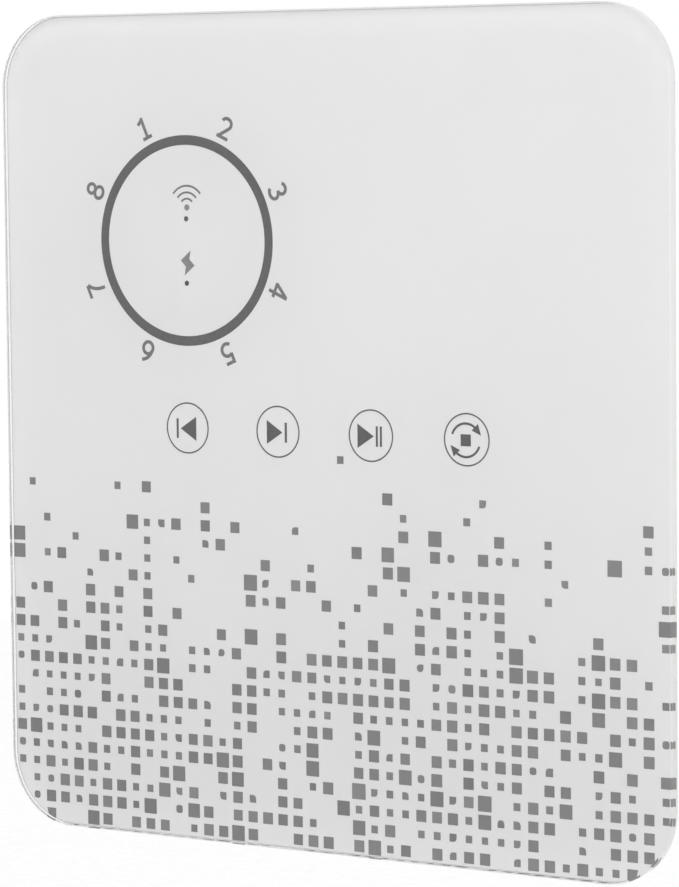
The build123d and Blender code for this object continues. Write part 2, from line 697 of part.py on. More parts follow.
def board_screws():
    """Four pan-head screws that hold the main board on its posts."""
    screws = []
    top = BOARD_OUT + BOARD_THICK
    for x, up in BOARD_POST_PLACES:
        shank = layer(Pos(x, up) * Circle(SMALL_SCREW_RADIUS), top - BOARD_SHANK_LENGTH, top)
        head = layer(Pos(x, up) * Circle(PAN_HEAD_RADIUS), top, top + PAN_HEAD_HEIGHT)
        screws.append(shank + head)
    return group(screws)


def shield_can():
    """Pressed lid over the radio circuit."""
    lid = block(CAN_X, (BOARD_OUT - CAN_DEEP, BOARD_OUT), CAN_UP)
    inside_x = (CAN_X[0] + CAN_SHEET, CAN_X[1] - CAN_SHEET)
    inside_up = (CAN_UP[0] + CAN_SHEET, CAN_UP[1] - CAN_SHEET)
    return lid - block(inside_x, (BOARD_OUT - CAN_DEEP + CAN_SHEET, BOARD_OUT), inside_up)


def capacitors():
    """Two round capacitors on the back of the main board."""
    cans = []
    for up in CAPACITOR_HEIGHTS:
        outline = Pos(CAPACITOR_X, up) * Circle(CAPACITOR_RADIUS)
        can = layer(outline, BOARD_OUT - CAPACITOR_DEEP, BOARD_OUT)
        cans.append(fillet(can.edges().group_by(Axis.Y)[-1], CAPACITOR_ROUND))
    return group(cans)


def charging_socket():
    """Metal-shelled socket with a thin contact tongue, opening downwards."""
    width, thick, depth = SOCKET_SIZE
    low = SOCKET_LOW
    out_range = (BOARD_OUT - thick, BOARD_OUT)
    shell = block((PORT_X - width / 2, PORT_X + width / 2), out_range, (low, low + depth))
    shell = fillet(shell.edges().filter_by(Axis.Z), SOCKET_CORNER)
    inner_x = width / 2 - SOCKET_SHELL
    inner_out = (out_range[0] + SOCKET_SHELL, out_range[1] - SOCKET_SHELL)
    cavity = block((PORT_X - inner_x, PORT_X + inner_x), inner_out, (low, low + depth - SOCKET_BACK))
    cavity = fillet(cavity.edges().filter_by(Axis.Z), SOCKET_CORNER - SOCKET_SHELL)
    middle = BOARD_OUT - thick / 2
    tongue_x = SOCKET_TONGUE[0] / 2
    tongue_out = (middle - SOCKET_TONGUE[1] / 2, middle + SOCKET_TONGUE[1] / 2)
    root = low + depth - SOCKET_BACK
    tongue_up = (root - SOCKET_TONGUE[2], root + SOCKET_BACK / 2)
    return shell - cavity + block((PORT_X - tongue_x, PORT_X + tongue_x), tongue_out, tongue_up)


def touch_flex():
    """Flat flexible lead from the touch board, through the frame, to the main board."""
    half = FLEX_WIDTH / 2
    x_range = (-half, half)
    start_out = POCKET_FLOOR_OUT + GLUE_GAP
    end_out = BOARD_OUT + BOARD_THICK + FLEX_CLIP_RISE - 3 * FLEX_THICK
    drop = FLEX_DROP_HEIGHT
    first = block(x_range, (start_out, start_out + FLEX_THICK), (drop, drop + FLEX_TAB))
    middle = block(x_range, (end_out, start_out + FLEX_THICK), (drop - FLEX_THICK, drop))
    last = block(x_range, (end_out, end_out + FLEX_THICK), (FLEX_CLIP_UP[1], drop))
    return fused([first, middle, last])


# ---------------------------------------------------------------- battery

def battery_pack():
    """Two round cells side by side in one shrink sleeve."""
    section = Plane.YZ * SlotOverall(PACK_HEIGHT, PACK_THICK, rotation=90)
    pack = extrude(section, PACK_LENGTH / 2, both=True)
    pack = fillet(pack.edges().group_by(Axis.X)[0] + pack.edges().group_by(Axis.X)[-1], PACK_EDGE_ROUND)
    return Pos(0, -PACK_OUT, PACK_MIDDLE - PANEL_DROP) * pack


def battery_clamp():
    """Strap that bridges the pack and is screwed to two pads on the back wall."""
    half = CLAMP_WIDTH / 2
    x_range = (-half, half)
    bridge_out = PACK_OUT + PACK_THICK / 2 + CLAMP_SLACK[0]
    reach = PACK_HEIGHT / 2 + CLAMP_SLACK[1]
    top = PACK_MIDDLE + reach
    low = PACK_MIDDLE - reach
    thick = CLAMP_THICK
    foot = (CLAMP_FOOT_OUT, CLAMP_FOOT_OUT + thick)
    leg = (CLAMP_FOOT_OUT, bridge_out + thick)
    pieces = [
        block(x_range, (bridge_out, bridge_out + thick), (low - thick, top + thick)),
        block(x_range, leg, (top, top + thick)),
        block(x_range, leg, (low - thick, low)),
        block(x_range, foot, (top, top + CLAMP_FOOT_LENGTH)),
        block(x_range, foot, (low - CLAMP_FOOT_LENGTH, low)),
    ]
    clamp = fused(pieces)
    for side in (-1, 1):
        spot = Pos(0, PACK_MIDDLE + side * CLAMP_SCREW_REACH)
        clamp = clamp - layer(spot * Circle(BOARD_HOLE_RADIUS), CLAMP_FOOT_OUT, CLAMP_FOOT_OUT + thick)
    return clamp


def battery_screws():
    """Two pan-head screws through the clamp's feet."""
    screws = []
    top = CLAMP_FOOT_OUT + CLAMP_THICK
    for side in (-1, 1):
        spot = Pos(0, PACK_MIDDLE + side * CLAMP_SCREW_REACH)
        shank = layer(spot * Circle(SMALL_SCREW_RADIUS), BACK_OUT + CLAMP_SHANK_START, top)
        head = layer(spot * Circle(PAN_HEAD_RADIUS), top, top + PAN_HEAD_HEIGHT)
        screws.append(shank + head)
    return group(screws)


def wire(points, bend):
    """Round lead along straight runs joined by arcs; points are X, out and panel height."""
    spots = [(x, -out, up - PANEL_DROP) for x, out, up in points]
    path = FilletPolyline(*spots, radius=bend)
    start = Plane(origin=path @ 0, z_dir=path % 0)
    return sweep(start * Circle(WIRE_RADIUS), path=path)


def battery_lead():
    """Two leads from the pack's end, down past the drivers' level to the board's connector."""
    leads = []
    for shift in (0.0, WIRE_PITCH):
        end_x = 32.6 + shift
        side_x = 39.0 + shift
        start_up = PACK_MIDDLE + WIRE_PITCH - shift
        points = [
            (PACK_LENGTH / 2, 23, start_up),
            (side_x, 23, start_up),
            (side_x + 0.6, 25, 20),
            (side_x, 28, 0),
            (end_x, 29.5, -8),
            (end_x, 29.5, -16),
        ]
        leads.append(wire(points, WIRE_BEND))
    return group(leads)


def driver_leads():
    """One lead from each end of the board to the terminal on each driver's basket."""
    leads = []
    terminal_x = INNER_SIDE + BASKET_BACK
    for side in (-1, 1):
        points = [
            (side * 45.0, 30.0, -40.0),
            (side * 51.0, 30.0, -40.0),
            (side * 56.0, DRIVER_OUT, -25.0),
            (side * terminal_x, DRIVER_OUT, -25.0),
        ]
        leads.append(wire(points, WIRE_BEND))
    return group(leads)


# ---------------------------------------------------------------- side drivers

def side_frame(side):
    """Frame of the left (-1) or right (+1) driver: local Z points out of the side wall."""
    origin = (side * INNER_SIDE, -DRIVER_OUT, DRIVER_HEIGHT - PANEL_DROP)
    return Plane(origin=origin, x_dir=(0, 0, 1), z_dir=(side, 0, 0)).location


def driver_spacer():
    """Raised racetrack rim and two screw pads on the inner face of the side wall."""
    rim = between(FLANGE_FRONT, 0.5, racetrack(FLANGE_HALF) - racetrack(SPACER_INNER_HALF))
    for x in (-EAR_HOLE_X, EAR_HOLE_X):
        rim = rim + between(FLANGE_FRONT, 0.5, Pos(x, 0) * Circle(EAR_PAD_RADIUS))
    return rim


def side_wall_cuts():
    """Window behind the grille, the grille's recess and two blind screw holes."""
    window = between(0, WALL, racetrack(WINDOW_HALF))
    recess = between(WALL - GRILLE_RECESS, WALL + 1, racetrack(GRILLE_HALF + SHANK_CLEARANCE))
    cuts = window + recess
    for x in (-EAR_HOLE_X, EAR_HOLE_X):
        cuts = cuts + between(FLANGE_FRONT, EAR_THREAD_END, Pos(x, 0) * Circle(EAR_THREAD_RADIUS))
    return cuts


def side_grille():
    """Racetrack grille pressed into the outside of the side wall, with slots across it."""
    outer = between(WALL - GRILLE_RECESS, WALL - GRILLE_RECESS + GRILLE_THICK, racetrack(GRILLE_HALF))
    for index in range(GRILLE_SLOTS):
        x = (index - (GRILLE_SLOTS - 1) / 2) * GRILLE_PITCH
        beyond = max(0.0, abs(x) - END_CENTRE)
        length = 2 * sqrt((GRILLE_HALF - GRILLE_BORDER) ** 2 - beyond ** 2)
        slot = Pos(x, 0) * SlotOverall(length, GRILLE_SLOT, rotation=90)
        outer = outer - between(0, WALL + 1, slot)
    return outer


def grille_mesh():
    """Water-repelling cloth bonded inside the window."""
    return between(-MESH_THICK, 0, racetrack(MESH_HALF))


def driver_basket():
    """Racetrack basket: flange with two ears, side walls with vents, floor with the motor's hole."""
    flange = racetrack(FLANGE_HALF) + SlotOverall(EAR_LENGTH, EAR_WIDTH)
    basket = between(FLANGE_BACK, FLANGE_FRONT, flange)
    basket = basket + between(BASKET_BACK, FLANGE_FRONT, racetrack(BASKET_OUTER_HALF))
    basket = basket - between(BASKET_FLOOR, FLANGE_FRONT, racetrack(BASKET_INNER_HALF))
    seat = ring_round(SPIDER_RADIUS + SPIDER_SEAT[0], SPIDER_RADIUS + SPIDER_SEAT[1])
    basket = basket + between(BASKET_FLOOR - 0.5, SPIDER_LEVEL, seat)
    basket = basket - between(BASKET_BACK, BASKET_FLOOR, Circle(YOKE_RADIUS + GLUE_GAP))
    for x in (-BASKET_VENT_X, BASKET_VENT_X):
        basket = basket - Pos(x, 0, BASKET_VENT_LEVEL) * Box(*BASKET_VENT_SIZE)
    for x in (-EAR_HOLE_X, EAR_HOLE_X):
        basket = basket - between(FLANGE_BACK, FLANGE_FRONT, Pos(x, 0) * Circle(EAR_HOLE_RADIUS))
    return basket


def surround():
    """Half-roll rubber edge between the basket's flange and the cone."""
    half = ROLL_MIDDLE_HALF
    thick = SURROUND_THICK
    level = FLANGE_FRONT
    outer_rim = racetrack(SURROUND_OUTER_HALF) - racetrack(half + ROLL_RADIUS - thick)
    inner_lip = racetrack(half - ROLL_RADIUS + thick) - racetrack(SURROUND_INNER_HALF)
    flats = between(level, level + thick, outer_rim) + between(level, level + thick, inner_lip)
    section = Circle(ROLL_RADIUS) - Circle(ROLL_RADIUS - thick)
    section = section & Pos(0, ROLL_RADIUS) * Rectangle(4 * ROLL_RADIUS, 2 * ROLL_RADIUS)
    roll = []
    for side in (-1, 1):
        straight_plane = Plane(origin=(-END_CENTRE, side * half, level), x_dir=(0, 1, 0), z_dir=(1, 0, 0))
        roll.append(extrude(straight_plane * section, 2 * END_CENTRE))
        end_plane = Plane(origin=(side * END_CENTRE, -half, level), x_dir=(0, 1, 0), z_dir=(1, 0, 0))
        axis = Axis((side * END_CENTRE, 0, 0), (0, 0, side))
        roll.append(revolve(end_plane * section, axis, 180))
    return fused([flats] + roll)


def driver_cone():
    """Flat stiff racetrack diaphragm."""
    return between(FLANGE_FRONT - CONE_THICK, FLANGE_FRONT, racetrack(CONE_HALF))


def dust_cap():
    """Shallow dome glued to the middle of the cone."""
    radius = (CAP_RADIUS ** 2 + CAP_HEIGHT ** 2) / (2 * CAP_HEIGHT)
    centre = FLANGE_FRONT + CAP_HEIGHT - radius
    shell = Pos(0, 0, centre) * (Sphere(radius) - Sphere(radius - CAP_THICK))
    keep = between(FLANGE_FRONT, 0, Circle(CAP_RADIUS + 1))
    return shell & keep


def voice_coil():
    """Wound tube glued to the back of the cone; its end stands in the motor's gap."""
    tube = ring_round(COIL_OUTER_RADIUS, COIL_INNER_RADIUS)
    return between(COIL_END, FLANGE_FRONT - CONE_THICK, tube)


def spider():
    """Springy cloth disc that centres the coil."""
    disc = ring_round(SPIDER_RADIUS, COIL_OUTER_RADIUS + GLUE_GAP)
    return between(SPIDER_LEVEL, SPIDER_LEVEL + SPIDER_THICK, disc)


def motor_yoke():
    """Steel cup of the motor."""
    cup = between(YOKE_BACK, BASKET_FLOOR, Circle(YOKE_RADIUS))
    return cup - between(YOKE_FLOOR, BASKET_FLOOR, Circle(YOKE_BORE_RADIUS))


def motor_magnet():
    """Round magnet on the cup's floor."""
    return between(YOKE_FLOOR, BASKET_FLOOR - TOP_PLATE_THICK, Circle(POLE_RADIUS))


def motor_top_plate():
    """Steel disc on the magnet, level with the cup's rim."""
    return between(BASKET_FLOOR - TOP_PLATE_THICK, BASKET_FLOOR, Circle(POLE_RADIUS))


def driver_screws():
    """Two screws through each basket's ears into the side wall's pads."""
    screws = []
    for side in (-1, 1):
        for x in (-EAR_HOLE_X, EAR_HOLE_X):
            shank = between(FLANGE_BACK, EAR_SHANK_END, Pos(x, 0) * Circle(EAR_SHANK_RADIUS))
            head = Pos(x, 0) * Circle(EAR_HEAD_RADIUS)
            head = between(FLANGE_BACK - PAN_HEAD_HEIGHT, FLANGE_BACK, head)
            screws.append(side_frame(side) * (shank + head))
    return group(screws)


# ---------------------------------------------------------------- rear passive radiator

def radiator_place():
    """Frame of the passive radiator: local Z points to the wall."""
    origin = (0, -INNER_BACK_OUT, RADIATOR_HEIGHT - PANEL_DROP)
    return Plane(origin=origin, x_dir=(1, 0, 0), z_dir=(0, 1, 0)).location


def radiator_frame():
    """Ring bonded to the back wall with a ledge for the surround."""
    ring = between(RADIATOR_FRAME_BACK, 0, ring_round(RADIATOR_FRAME_RADIUS, RADIATOR_BORE_RADIUS))
    ledge = ring_round(RADIATOR_BORE_RADIUS + 1, RADIATOR_LEDGE_RADIUS)
    return ring + between(RADIATOR_FRAME_BACK, RADIATOR_SEAT, ledge)


def radiator_surround():
    """Half-roll rubber ring between the frame's ledge and the plate."""
    thick = RADIATOR_SURROUND_THICK
    middle = RADIATOR_ROLL_MIDDLE
    roll = RADIATOR_ROLL_RADIUS
    rim = ring_round(RADIATOR_BORE_RADIUS - SHANK_CLEARANCE, middle + roll - thick)
    lip = ring_round(middle - roll + thick, middle - roll - RADIATOR_LIP_WIDTH)
    flats = between(RADIATOR_SEAT, RADIATOR_SEAT + thick, rim)
    flats = flats + between(RADIATOR_SEAT, RADIATOR_SEAT + thick, lip)
    section = Circle(roll) - Circle(roll - thick)
    section = section & Pos(0, roll) * Rectangle(4 * roll, 2 * roll)
    plane = Plane(origin=(middle, 0, RADIATOR_SEAT), x_dir=(1, 0, 0), z_dir=(0, -1, 0))
    return flats + revolve(plane * section, Axis.Z, 360)


def radiator_plate():
    """Round plate that the air in the case moves."""
    return between(RADIATOR_SEAT - RADIATOR_PLATE_THICK, RADIATOR_SEAT, Circle(RADIATOR_PLATE_RADIUS))


def radiator_mass():
    """Steel weight on the inside of the plate."""
    start = RADIATOR_SEAT - RADIATOR_PLATE_THICK
    return between(start - RADIATOR_MASS_THICK, start, Circle(RADIATOR_MASS_RADIUS))


# ---------------------------------------------------------------- power button and charging port

def button_shape(size, extra, low, top):
    """A slot-shaped bar along Z at the button's place."""
    outline = Pos(BUTTON_X, -BUTTON_OUT) * SlotOverall(size[0] + 2 * extra, size[1] + 2 * extra)
    return extrude(Plane.XY.offset(low - PANEL_DROP) * outline, top - low)


def power_button():
    """Slot-shaped cap, a flange that stops it inside the wall, and a post to the switch."""
    flange_low = -INNER_END + BUTTON_REST_GAP
    flange_top = flange_low + BUTTON_FLANGE_THICK
    cap = button_shape(BUTTON_CAP, 0, -HOUSING_HEIGHT / 2 - BUTTON_STAND, flange_low)
    cap = chamfer(cap.edges().group_by(Axis.Z)[0], BUTTON_CHAMFER)
    flange = button_shape(BUTTON_FLANGE, 0, flange_low, flange_top)
    post = upright_rod(BUTTON_X, BUTTON_OUT, flange_top, PLUNGER_LOW, BUTTON_POST_RADIUS)
    return fused([cap, flange, post])


def switch_plunger():
    """The switch's own plunger, which the button's post pushes in."""
    return upright_rod(BUTTON_X, BUTTON_OUT, PLUNGER_LOW, PLUNGER_TOP, PLUNGER_RADIUS)


def power_switch():
    """Push switch on the back of the main board, with a bore for its plunger."""
    width, thick, height = SWITCH_SIZE
    body = block(
        (BUTTON_X - width / 2, BUTTON_X + width / 2),
        (BOARD_OUT - thick, BOARD_OUT),
        (SWITCH_LOW, SWITCH_LOW + height),
    )
    bore_top = SWITCH_LOW + SWITCH_BORE_DEPTH
    bore_radius = PLUNGER_RADIUS + PLUNGER_CLEARANCE
    return body - upright_rod(BUTTON_X, BUTTON_OUT, SWITCH_LOW, bore_top, bore_radius)


def port_bezel():
    """Moulded insert in the bottom wall: plug shaft, recess for the flap and hinge ears."""
    bottom = -HOUSING_HEIGHT / 2
    body = block(BEZEL_X, BEZEL_OUT, (bottom, BEZEL_TOP))
    flange = block(BEZEL_FLANGE_X, BEZEL_FLANGE_OUT, (-INNER_END, BEZEL_FLANGE_TOP))
    bezel = body + flange
    half_width = PORT_SIZE[0] / 2
    half_thick = PORT_SIZE[1] / 2
    shaft_out = (PORT_OUT - half_thick, PORT_OUT + half_thick)
    bezel = bezel - block((PORT_X - half_width, PORT_X + half_width), shaft_out, (bottom, BEZEL_TOP))
    recess_x = (PORT_X - FLAP_HALF - FLAP_GAP, PORT_X + FLAP_HALF + FLAP_GAP)
    recess_out = (HINGE_OUT - RECESS_BEHIND, FLAP_END_OUT + FLAP_GAP)
    bezel = bezel - block(recess_x, recess_out, (bottom, bottom + FLAP_THICK + RECESS_SEAT))
    barrel_out = (HINGE_OUT - RECESS_BEHIND, HINGE_OUT + BARREL_ROOM[0])
    bezel = bezel - block(recess_x, barrel_out, (bottom, HINGE_HEIGHT + BARREL_ROOM[1]))
    return bezel - hinge_rod(HINGE_PIN_HALF, HINGE_PIN_RADIUS + PIN_CLEARANCE)


def hinge_rod(half_length, radius):
    """A cylinder on the flap's hinge axis."""
    place = Pos(PORT_X, -HINGE_OUT, HINGE_HEIGHT - PANEL_DROP)
    return place * Rot(0, 90, 0) * Cylinder(radius, 2 * half_length)


def port_flap():
    """Hinged cover plate with its barrel and a small lip for a fingernail."""
    bottom = -HOUSING_HEIGHT / 2
    x_range = (PORT_X - FLAP_HALF, PORT_X + FLAP_HALF)
    plate = block(x_range, (HINGE_OUT, FLAP_END_OUT), (bottom, bottom + FLAP_THICK))
    lip_x = (PORT_X - FLAP_LIP_HALF, PORT_X + FLAP_LIP_HALF)
    lip_up = (bottom - FLAP_LIP_STAND, bottom + FLAP_LIP_ROOT)
    lip = block(lip_x, (FLAP_END_OUT - FLAP_LIP_DEEP, FLAP_END_OUT), lip_up)
    barrel = hinge_rod(FLAP_HALF, HINGE_BARREL_RADIUS)
    return fused([plate, lip, barrel]) - hinge_rod(FLAP_HALF, HINGE_PIN_RADIUS + HINGE_CLEARANCE)


def flap_hinge_pin():
    """Steel pin held by the bezel at both ends."""
    return hinge_rod(HINGE_PIN_HALF, HINGE_PIN_RADIUS)


# ---------------------------------------------------------------- all parts

parts = {
    "wall_bracket": wall_bracket(),
    "hanger_plate": hanger_plate(),
    "hanger_screws": hanger_screws(),
    "wall_bumpers": wall_bumpers(),
    "rear_housing": rear_housing(),
    "front_frame": front_frame(),
    "case_seal": layer(seal_outline(), RIM_OUT, RIM_OUT + SEAL_DEPTH),
    "case_screws": case_screws(),
    "front_glass": front_glass(),
    "print_film": print_film(),
    "glass_tape": glass_tape(),
    "touch_board": touch_board(),
    "touch_flex": touch_flex(),
    "diffuser_disc": diffuser_disc(),
    "light_baffle": light_baffle(),
    "led_board": led_board(),
    "leds": leds(),
    "main_board": main_board(),
    "board_screws": board_screws(),
    "shield_can": shield_can(),
    "capacitors": capacitors(),
    "charging_socket": charging_socket(),
    "battery_pack": battery_pack(),
    "battery_clamp": battery_clamp(),
    "battery_screws": battery_screws(),
    "battery_lead": battery_lead(),
    "driver_leads": driver_leads(),
    "driver_screws": driver_screws(),
    "radiator_frame": radiator_place() * radiator_frame(),
    "radiator_surround": radiator_place() * radiator_surround(),
    "radiator_plate": radiator_place() * radiator_plate(),
    "radiator_mass": radiator_place() * radiator_mass(),
    "power_button": power_button(),
    "switch_plunger": switch_plunger(),
    "power_switch": power_switch(),
    "port_bezel": port_bezel(),
    "port_flap": port_flap(),
    "flap_hinge_pin": flap_hinge_pin(),
}

DRIVER_PIECES = {
    "grille": side_grille,
    "grille_mesh": grille_mesh,
    "basket": driver_basket,
    "surround": surround,
    "cone": driver_cone,
    "dust_cap": dust_cap,
    "voice_coil": voice_coil,
    "spider": spider,
    "motor_yoke": motor_yoke,
    "motor_magnet": motor_magnet,
    "motor_top_plate": motor_top_plate,
}

for side_name, side in (("left", -1), ("right", 1)):
    for piece_name, make_piece in DRIVER_PIECES.items():
        parts[f"{piece_name}_{side_name}"] = side_frame(side) * make_piece()

for node, shape in parts.items():
    export_step(shape, f"parts/{node}.step")
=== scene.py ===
from math import pi, radians

import bmesh
import bpy
import numpy as np
from mathutils import Euler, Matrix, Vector


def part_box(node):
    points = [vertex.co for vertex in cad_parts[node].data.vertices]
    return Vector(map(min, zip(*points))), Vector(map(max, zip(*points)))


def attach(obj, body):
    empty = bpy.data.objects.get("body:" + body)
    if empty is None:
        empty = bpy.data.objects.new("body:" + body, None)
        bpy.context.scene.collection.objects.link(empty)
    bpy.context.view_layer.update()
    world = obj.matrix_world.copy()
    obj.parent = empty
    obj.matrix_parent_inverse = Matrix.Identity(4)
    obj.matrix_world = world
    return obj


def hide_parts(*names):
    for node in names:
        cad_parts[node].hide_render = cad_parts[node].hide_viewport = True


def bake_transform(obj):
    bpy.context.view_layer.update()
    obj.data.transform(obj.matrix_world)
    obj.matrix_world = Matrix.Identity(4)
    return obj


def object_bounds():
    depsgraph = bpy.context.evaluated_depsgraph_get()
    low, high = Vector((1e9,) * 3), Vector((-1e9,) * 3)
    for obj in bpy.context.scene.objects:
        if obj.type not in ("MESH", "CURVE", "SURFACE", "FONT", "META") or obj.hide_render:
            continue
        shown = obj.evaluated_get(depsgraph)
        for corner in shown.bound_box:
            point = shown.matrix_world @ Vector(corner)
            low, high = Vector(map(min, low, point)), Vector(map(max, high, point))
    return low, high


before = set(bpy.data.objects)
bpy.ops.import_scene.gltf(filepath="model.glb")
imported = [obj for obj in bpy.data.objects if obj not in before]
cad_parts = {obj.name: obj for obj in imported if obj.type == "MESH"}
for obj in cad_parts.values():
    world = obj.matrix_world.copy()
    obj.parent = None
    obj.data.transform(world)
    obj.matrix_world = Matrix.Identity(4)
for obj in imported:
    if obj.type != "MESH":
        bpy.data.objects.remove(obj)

cad_box = [list(corner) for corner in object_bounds()]

# ------------------------------------------------------------------ studio
# The speaker hangs in a white room above a pale painted floor, lit by four softboxes.
# The camera stands a metre away, to the right of the panel and level with its upper half.
MM = 0.001
scene = bpy.context.scene
glass_low, glass_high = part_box("front_glass")
PANEL_X = (glass_low[0] + glass_high[0]) / 2
PANEL_Z = (glass_low[2] + glass_high[2]) / 2
GLASS_FRONT_Y = glass_low[1]
GLASS_BACK_Y = glass_high[1]
FLOOR_DROP = 0.9             # m from the speaker's lower edge to the floor
FLOOR_REACH = 6.0            # m from the middle of the floor to each side


def linear(colour):
    """sRGB hex to linear: c / 12.92 up to 0.04045, and ((c + 0.055) / 1.055) ** 2.4 above it."""
    parts = np.array([int(colour[i:i + 2], 16) for i in (1, 3, 5)]) / 255
    bright = ((parts + 0.055) / 1.055) ** 2.4
    return tuple(np.where(parts <= 0.04045, parts / 12.92, bright)) + (1.0,)


def add(tree, kind, sockets=None, **settings):
    """Adds one shader node, sets its properties, and links or sets its input sockets."""
    made = tree.nodes.new("ShaderNode" + kind)
    for name, value in settings.items():
        setattr(made, name, value)
    for name, value in (sockets or {}).items():
        if isinstance(value, bpy.types.NodeSocket):
            tree.links.new(value, made.inputs[name])
        else:
            made.inputs[name].default_value = value
    return made


def surface(name, **sockets):
    """A material with one Principled shader; its sockets are set by name, words joined by _."""
    material = bpy.data.materials.new(name)
    material.use_nodes = True
    tree = material.node_tree
    tree.nodes.clear()
    shader = add(tree, "BsdfPrincipled")
    for key, value in sockets.items():
        shader.inputs[key.replace("_", " ")].default_value = value
    add(tree, "OutputMaterial", {"Surface": shader.outputs[0]})
    place = add(tree, "TexCoord").outputs["Object"]
    return material, tree, shader, place


def two_tone(tree, shader, amount, dark, pale, low=0.3, high=0.7):
    """Colours a shader between two sRGB tones as a grey amount goes from low to high."""
    ramp = add(tree, "ValToRGB", {"Fac": amount})
    ramp.color_ramp.elements[0].position = low
    ramp.color_ramp.elements[0].color = linear(dark)
    ramp.color_ramp.elements[1].position = high
    ramp.color_ramp.elements[1].color = linear(pale)
    tree.links.new(ramp.outputs["Color"], shader.inputs["Base Color"])


def raised(tree, shader, height, depth):
    """Lets a grey height, 0 to 1, stand up to a depth in millimetres out of the surface."""
    bump = add(tree, "Bump", {"Height": height, "Distance": depth * MM, "Strength": 1.0})
    tree.links.new(bump.outputs["Normal"], shader.inputs["Normal"])
    return bump


def softbox(name, place, size, power, gleam=False):
    """A softbox that faces the middle of the speaker and shows in polished edges if it may gleam."""
    light = bpy.data.lights.new(name, "AREA")
    light.shape = "RECTANGLE"
    light.size, light.size_y = size
    light.energy = power
    lamp = bpy.data.objects.new(name, light)
    lamp.location = place
    lamp.rotation_euler = (-Vector(place)).to_track_quat("-Z", "Y").to_euler()
    lamp.visible_glossy = gleam
    scene.collection.objects.link(lamp)


# Matt rolled floor paint: the eye sees a clean pale ground with only the finest mottle.
floor_paint, tree, shader, place = surface("rolled_floor_paint", Roughness=0.9)
mottle = add(tree, "TexNoise", {"Vector": place, "Scale": 90.0, "Detail": 3.0})
two_tone(tree, shader, mottle.outputs["Fac"], "#FAFAFA", "#FFFFFF")
floor_mesh = bpy.data.meshes.new("floor")
floor_z = cad_box[0][2] - FLOOR_DROP
floor_corners = [(x * FLOOR_REACH, y * FLOOR_REACH, floor_z) for x, y in ((-1, -1), (1, -1), (1, 1), (-1, 1))]
floor_mesh.from_pydata(floor_corners, [], [(0, 1, 2, 3)])
floor_mesh.materials.append(floor_paint)
floor = bpy.data.objects.new("floor", floor_mesh)
scene.collection.objects.link(floor)

softbox("high_softbox", (0.6, -0.8, 1.15), (1.2, 0.9), 8.5)
softbox("left_softbox", (-1.8, -1.2, 0.9), (1.4, 1.4), 6)
softbox("edge_softbox", (1.7, -1.1, 0.15), (0.7, 1.2), 2.4, gleam=True)
softbox("back_softbox", (0.4, 1.6, 1.4), (1.6, 1.2), 4)
world = bpy.data.worlds.new("white_room")
world.use_nodes = True
world.node_tree.nodes["Background"].inputs["Color"].default_value = linear("#FFFFFF")
world.node_tree.nodes["Background"].inputs["Strength"].default_value = 1.0
scene.world = world
scene.view_settings.view_transform = "Standard"

camera_data = bpy.data.cameras.new("camera")
camera_data.sensor_width = 36.0
camera_data.lens = 166.13
camera = bpy.data.objects.new("camera", camera_data)
camera.location = (PANEL_X + 0.5703, GLASS_FRONT_Y - 0.8512, PANEL_Z + 0.0808)
camera.rotation_euler = Euler((radians(85.367), radians(0.562), radians(33.521)), "XYZ")
scene.collection.objects.link(camera)
scene.camera = camera


# ------------------------------------------------------------------ wall bracket and hanger
# Two plates cut and folded from 2 mm cold-rolled steel sheet, zinc plated after bending.
# The bracket is screwed to the wall, and the hanger hooks over its turned-up lip.
ROLLING_LINE = 0.5           # mm between the faint lines that the rolls leave
SOFT_EDGE = 0.3              # mm, a broken edge


def dress(material, *nodes):
    """Gives the material slots of CAD nodes one material."""
    for name in nodes:
        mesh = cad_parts[name].data
        if not mesh.materials:
            mesh.materials.append(material)
        for index in range(len(mesh.materials)):
            mesh.materials[index] = material


def uneven(tree, shader, amount, roughness, rise):
    """Lets a grey amount, 0 to 1, raise a shader's roughness by up to a rise."""
    rough = add(tree, "MapRange", {"Value": amount, "To Min": roughness, "To Max": roughness + rise})
    tree.links.new(rough.outputs[0], shader.inputs["Roughness"])


def soften(tree, bump, radius):
    """Rounds the shading of every sharp edge under a bump by a radius in millimetres."""
    edge = add(tree, "Bevel", {"Radius": radius * MM}, samples=4)
    tree.links.new(edge.outputs[0], bump.inputs["Normal"])


def plated_steel(name, dark, pale, lines, roughness):
    """Plated steel: pale cool metal with fine lines along X, a cloudy sheen and soft edges."""
    material, tree, shader, place = surface(name, Metallic=1.0)
    stretch = add(tree, "Mapping", {"Vector": place, "Scale": (1 / 24, 1, 1)})
    rolled = add(tree, "TexNoise", {"Vector": stretch.outputs[0], "Scale": 1 / (lines * MM), "Detail": 2.0})
    cloud = add(tree, "TexNoise", {"Vector": place, "Scale": 1 / (9 * MM), "Detail": 4.0})
    mixed = add(tree, "Math", {0: rolled.outputs["Fac"], 1: cloud.outputs["Fac"]}, operation="ADD")
    half = add(tree, "Math", {0: mixed.outputs[0], 1: 0.5}, operation="MULTIPLY")
    two_tone(tree, shader, half.outputs[0], dark, pale)
    uneven(tree, shader, cloud.outputs["Fac"], roughness, 0.18)
    soften(tree, raised(tree, shader, rolled.outputs["Fac"], 0.012), SOFT_EDGE)
    return material


sheet_steel = plated_steel("zinc_plated_sheet_steel", "#A9ADB2", "#D2D5D8", ROLLING_LINE, 0.3)
dress(sheet_steel, "wall_bracket", "hanger_plate")


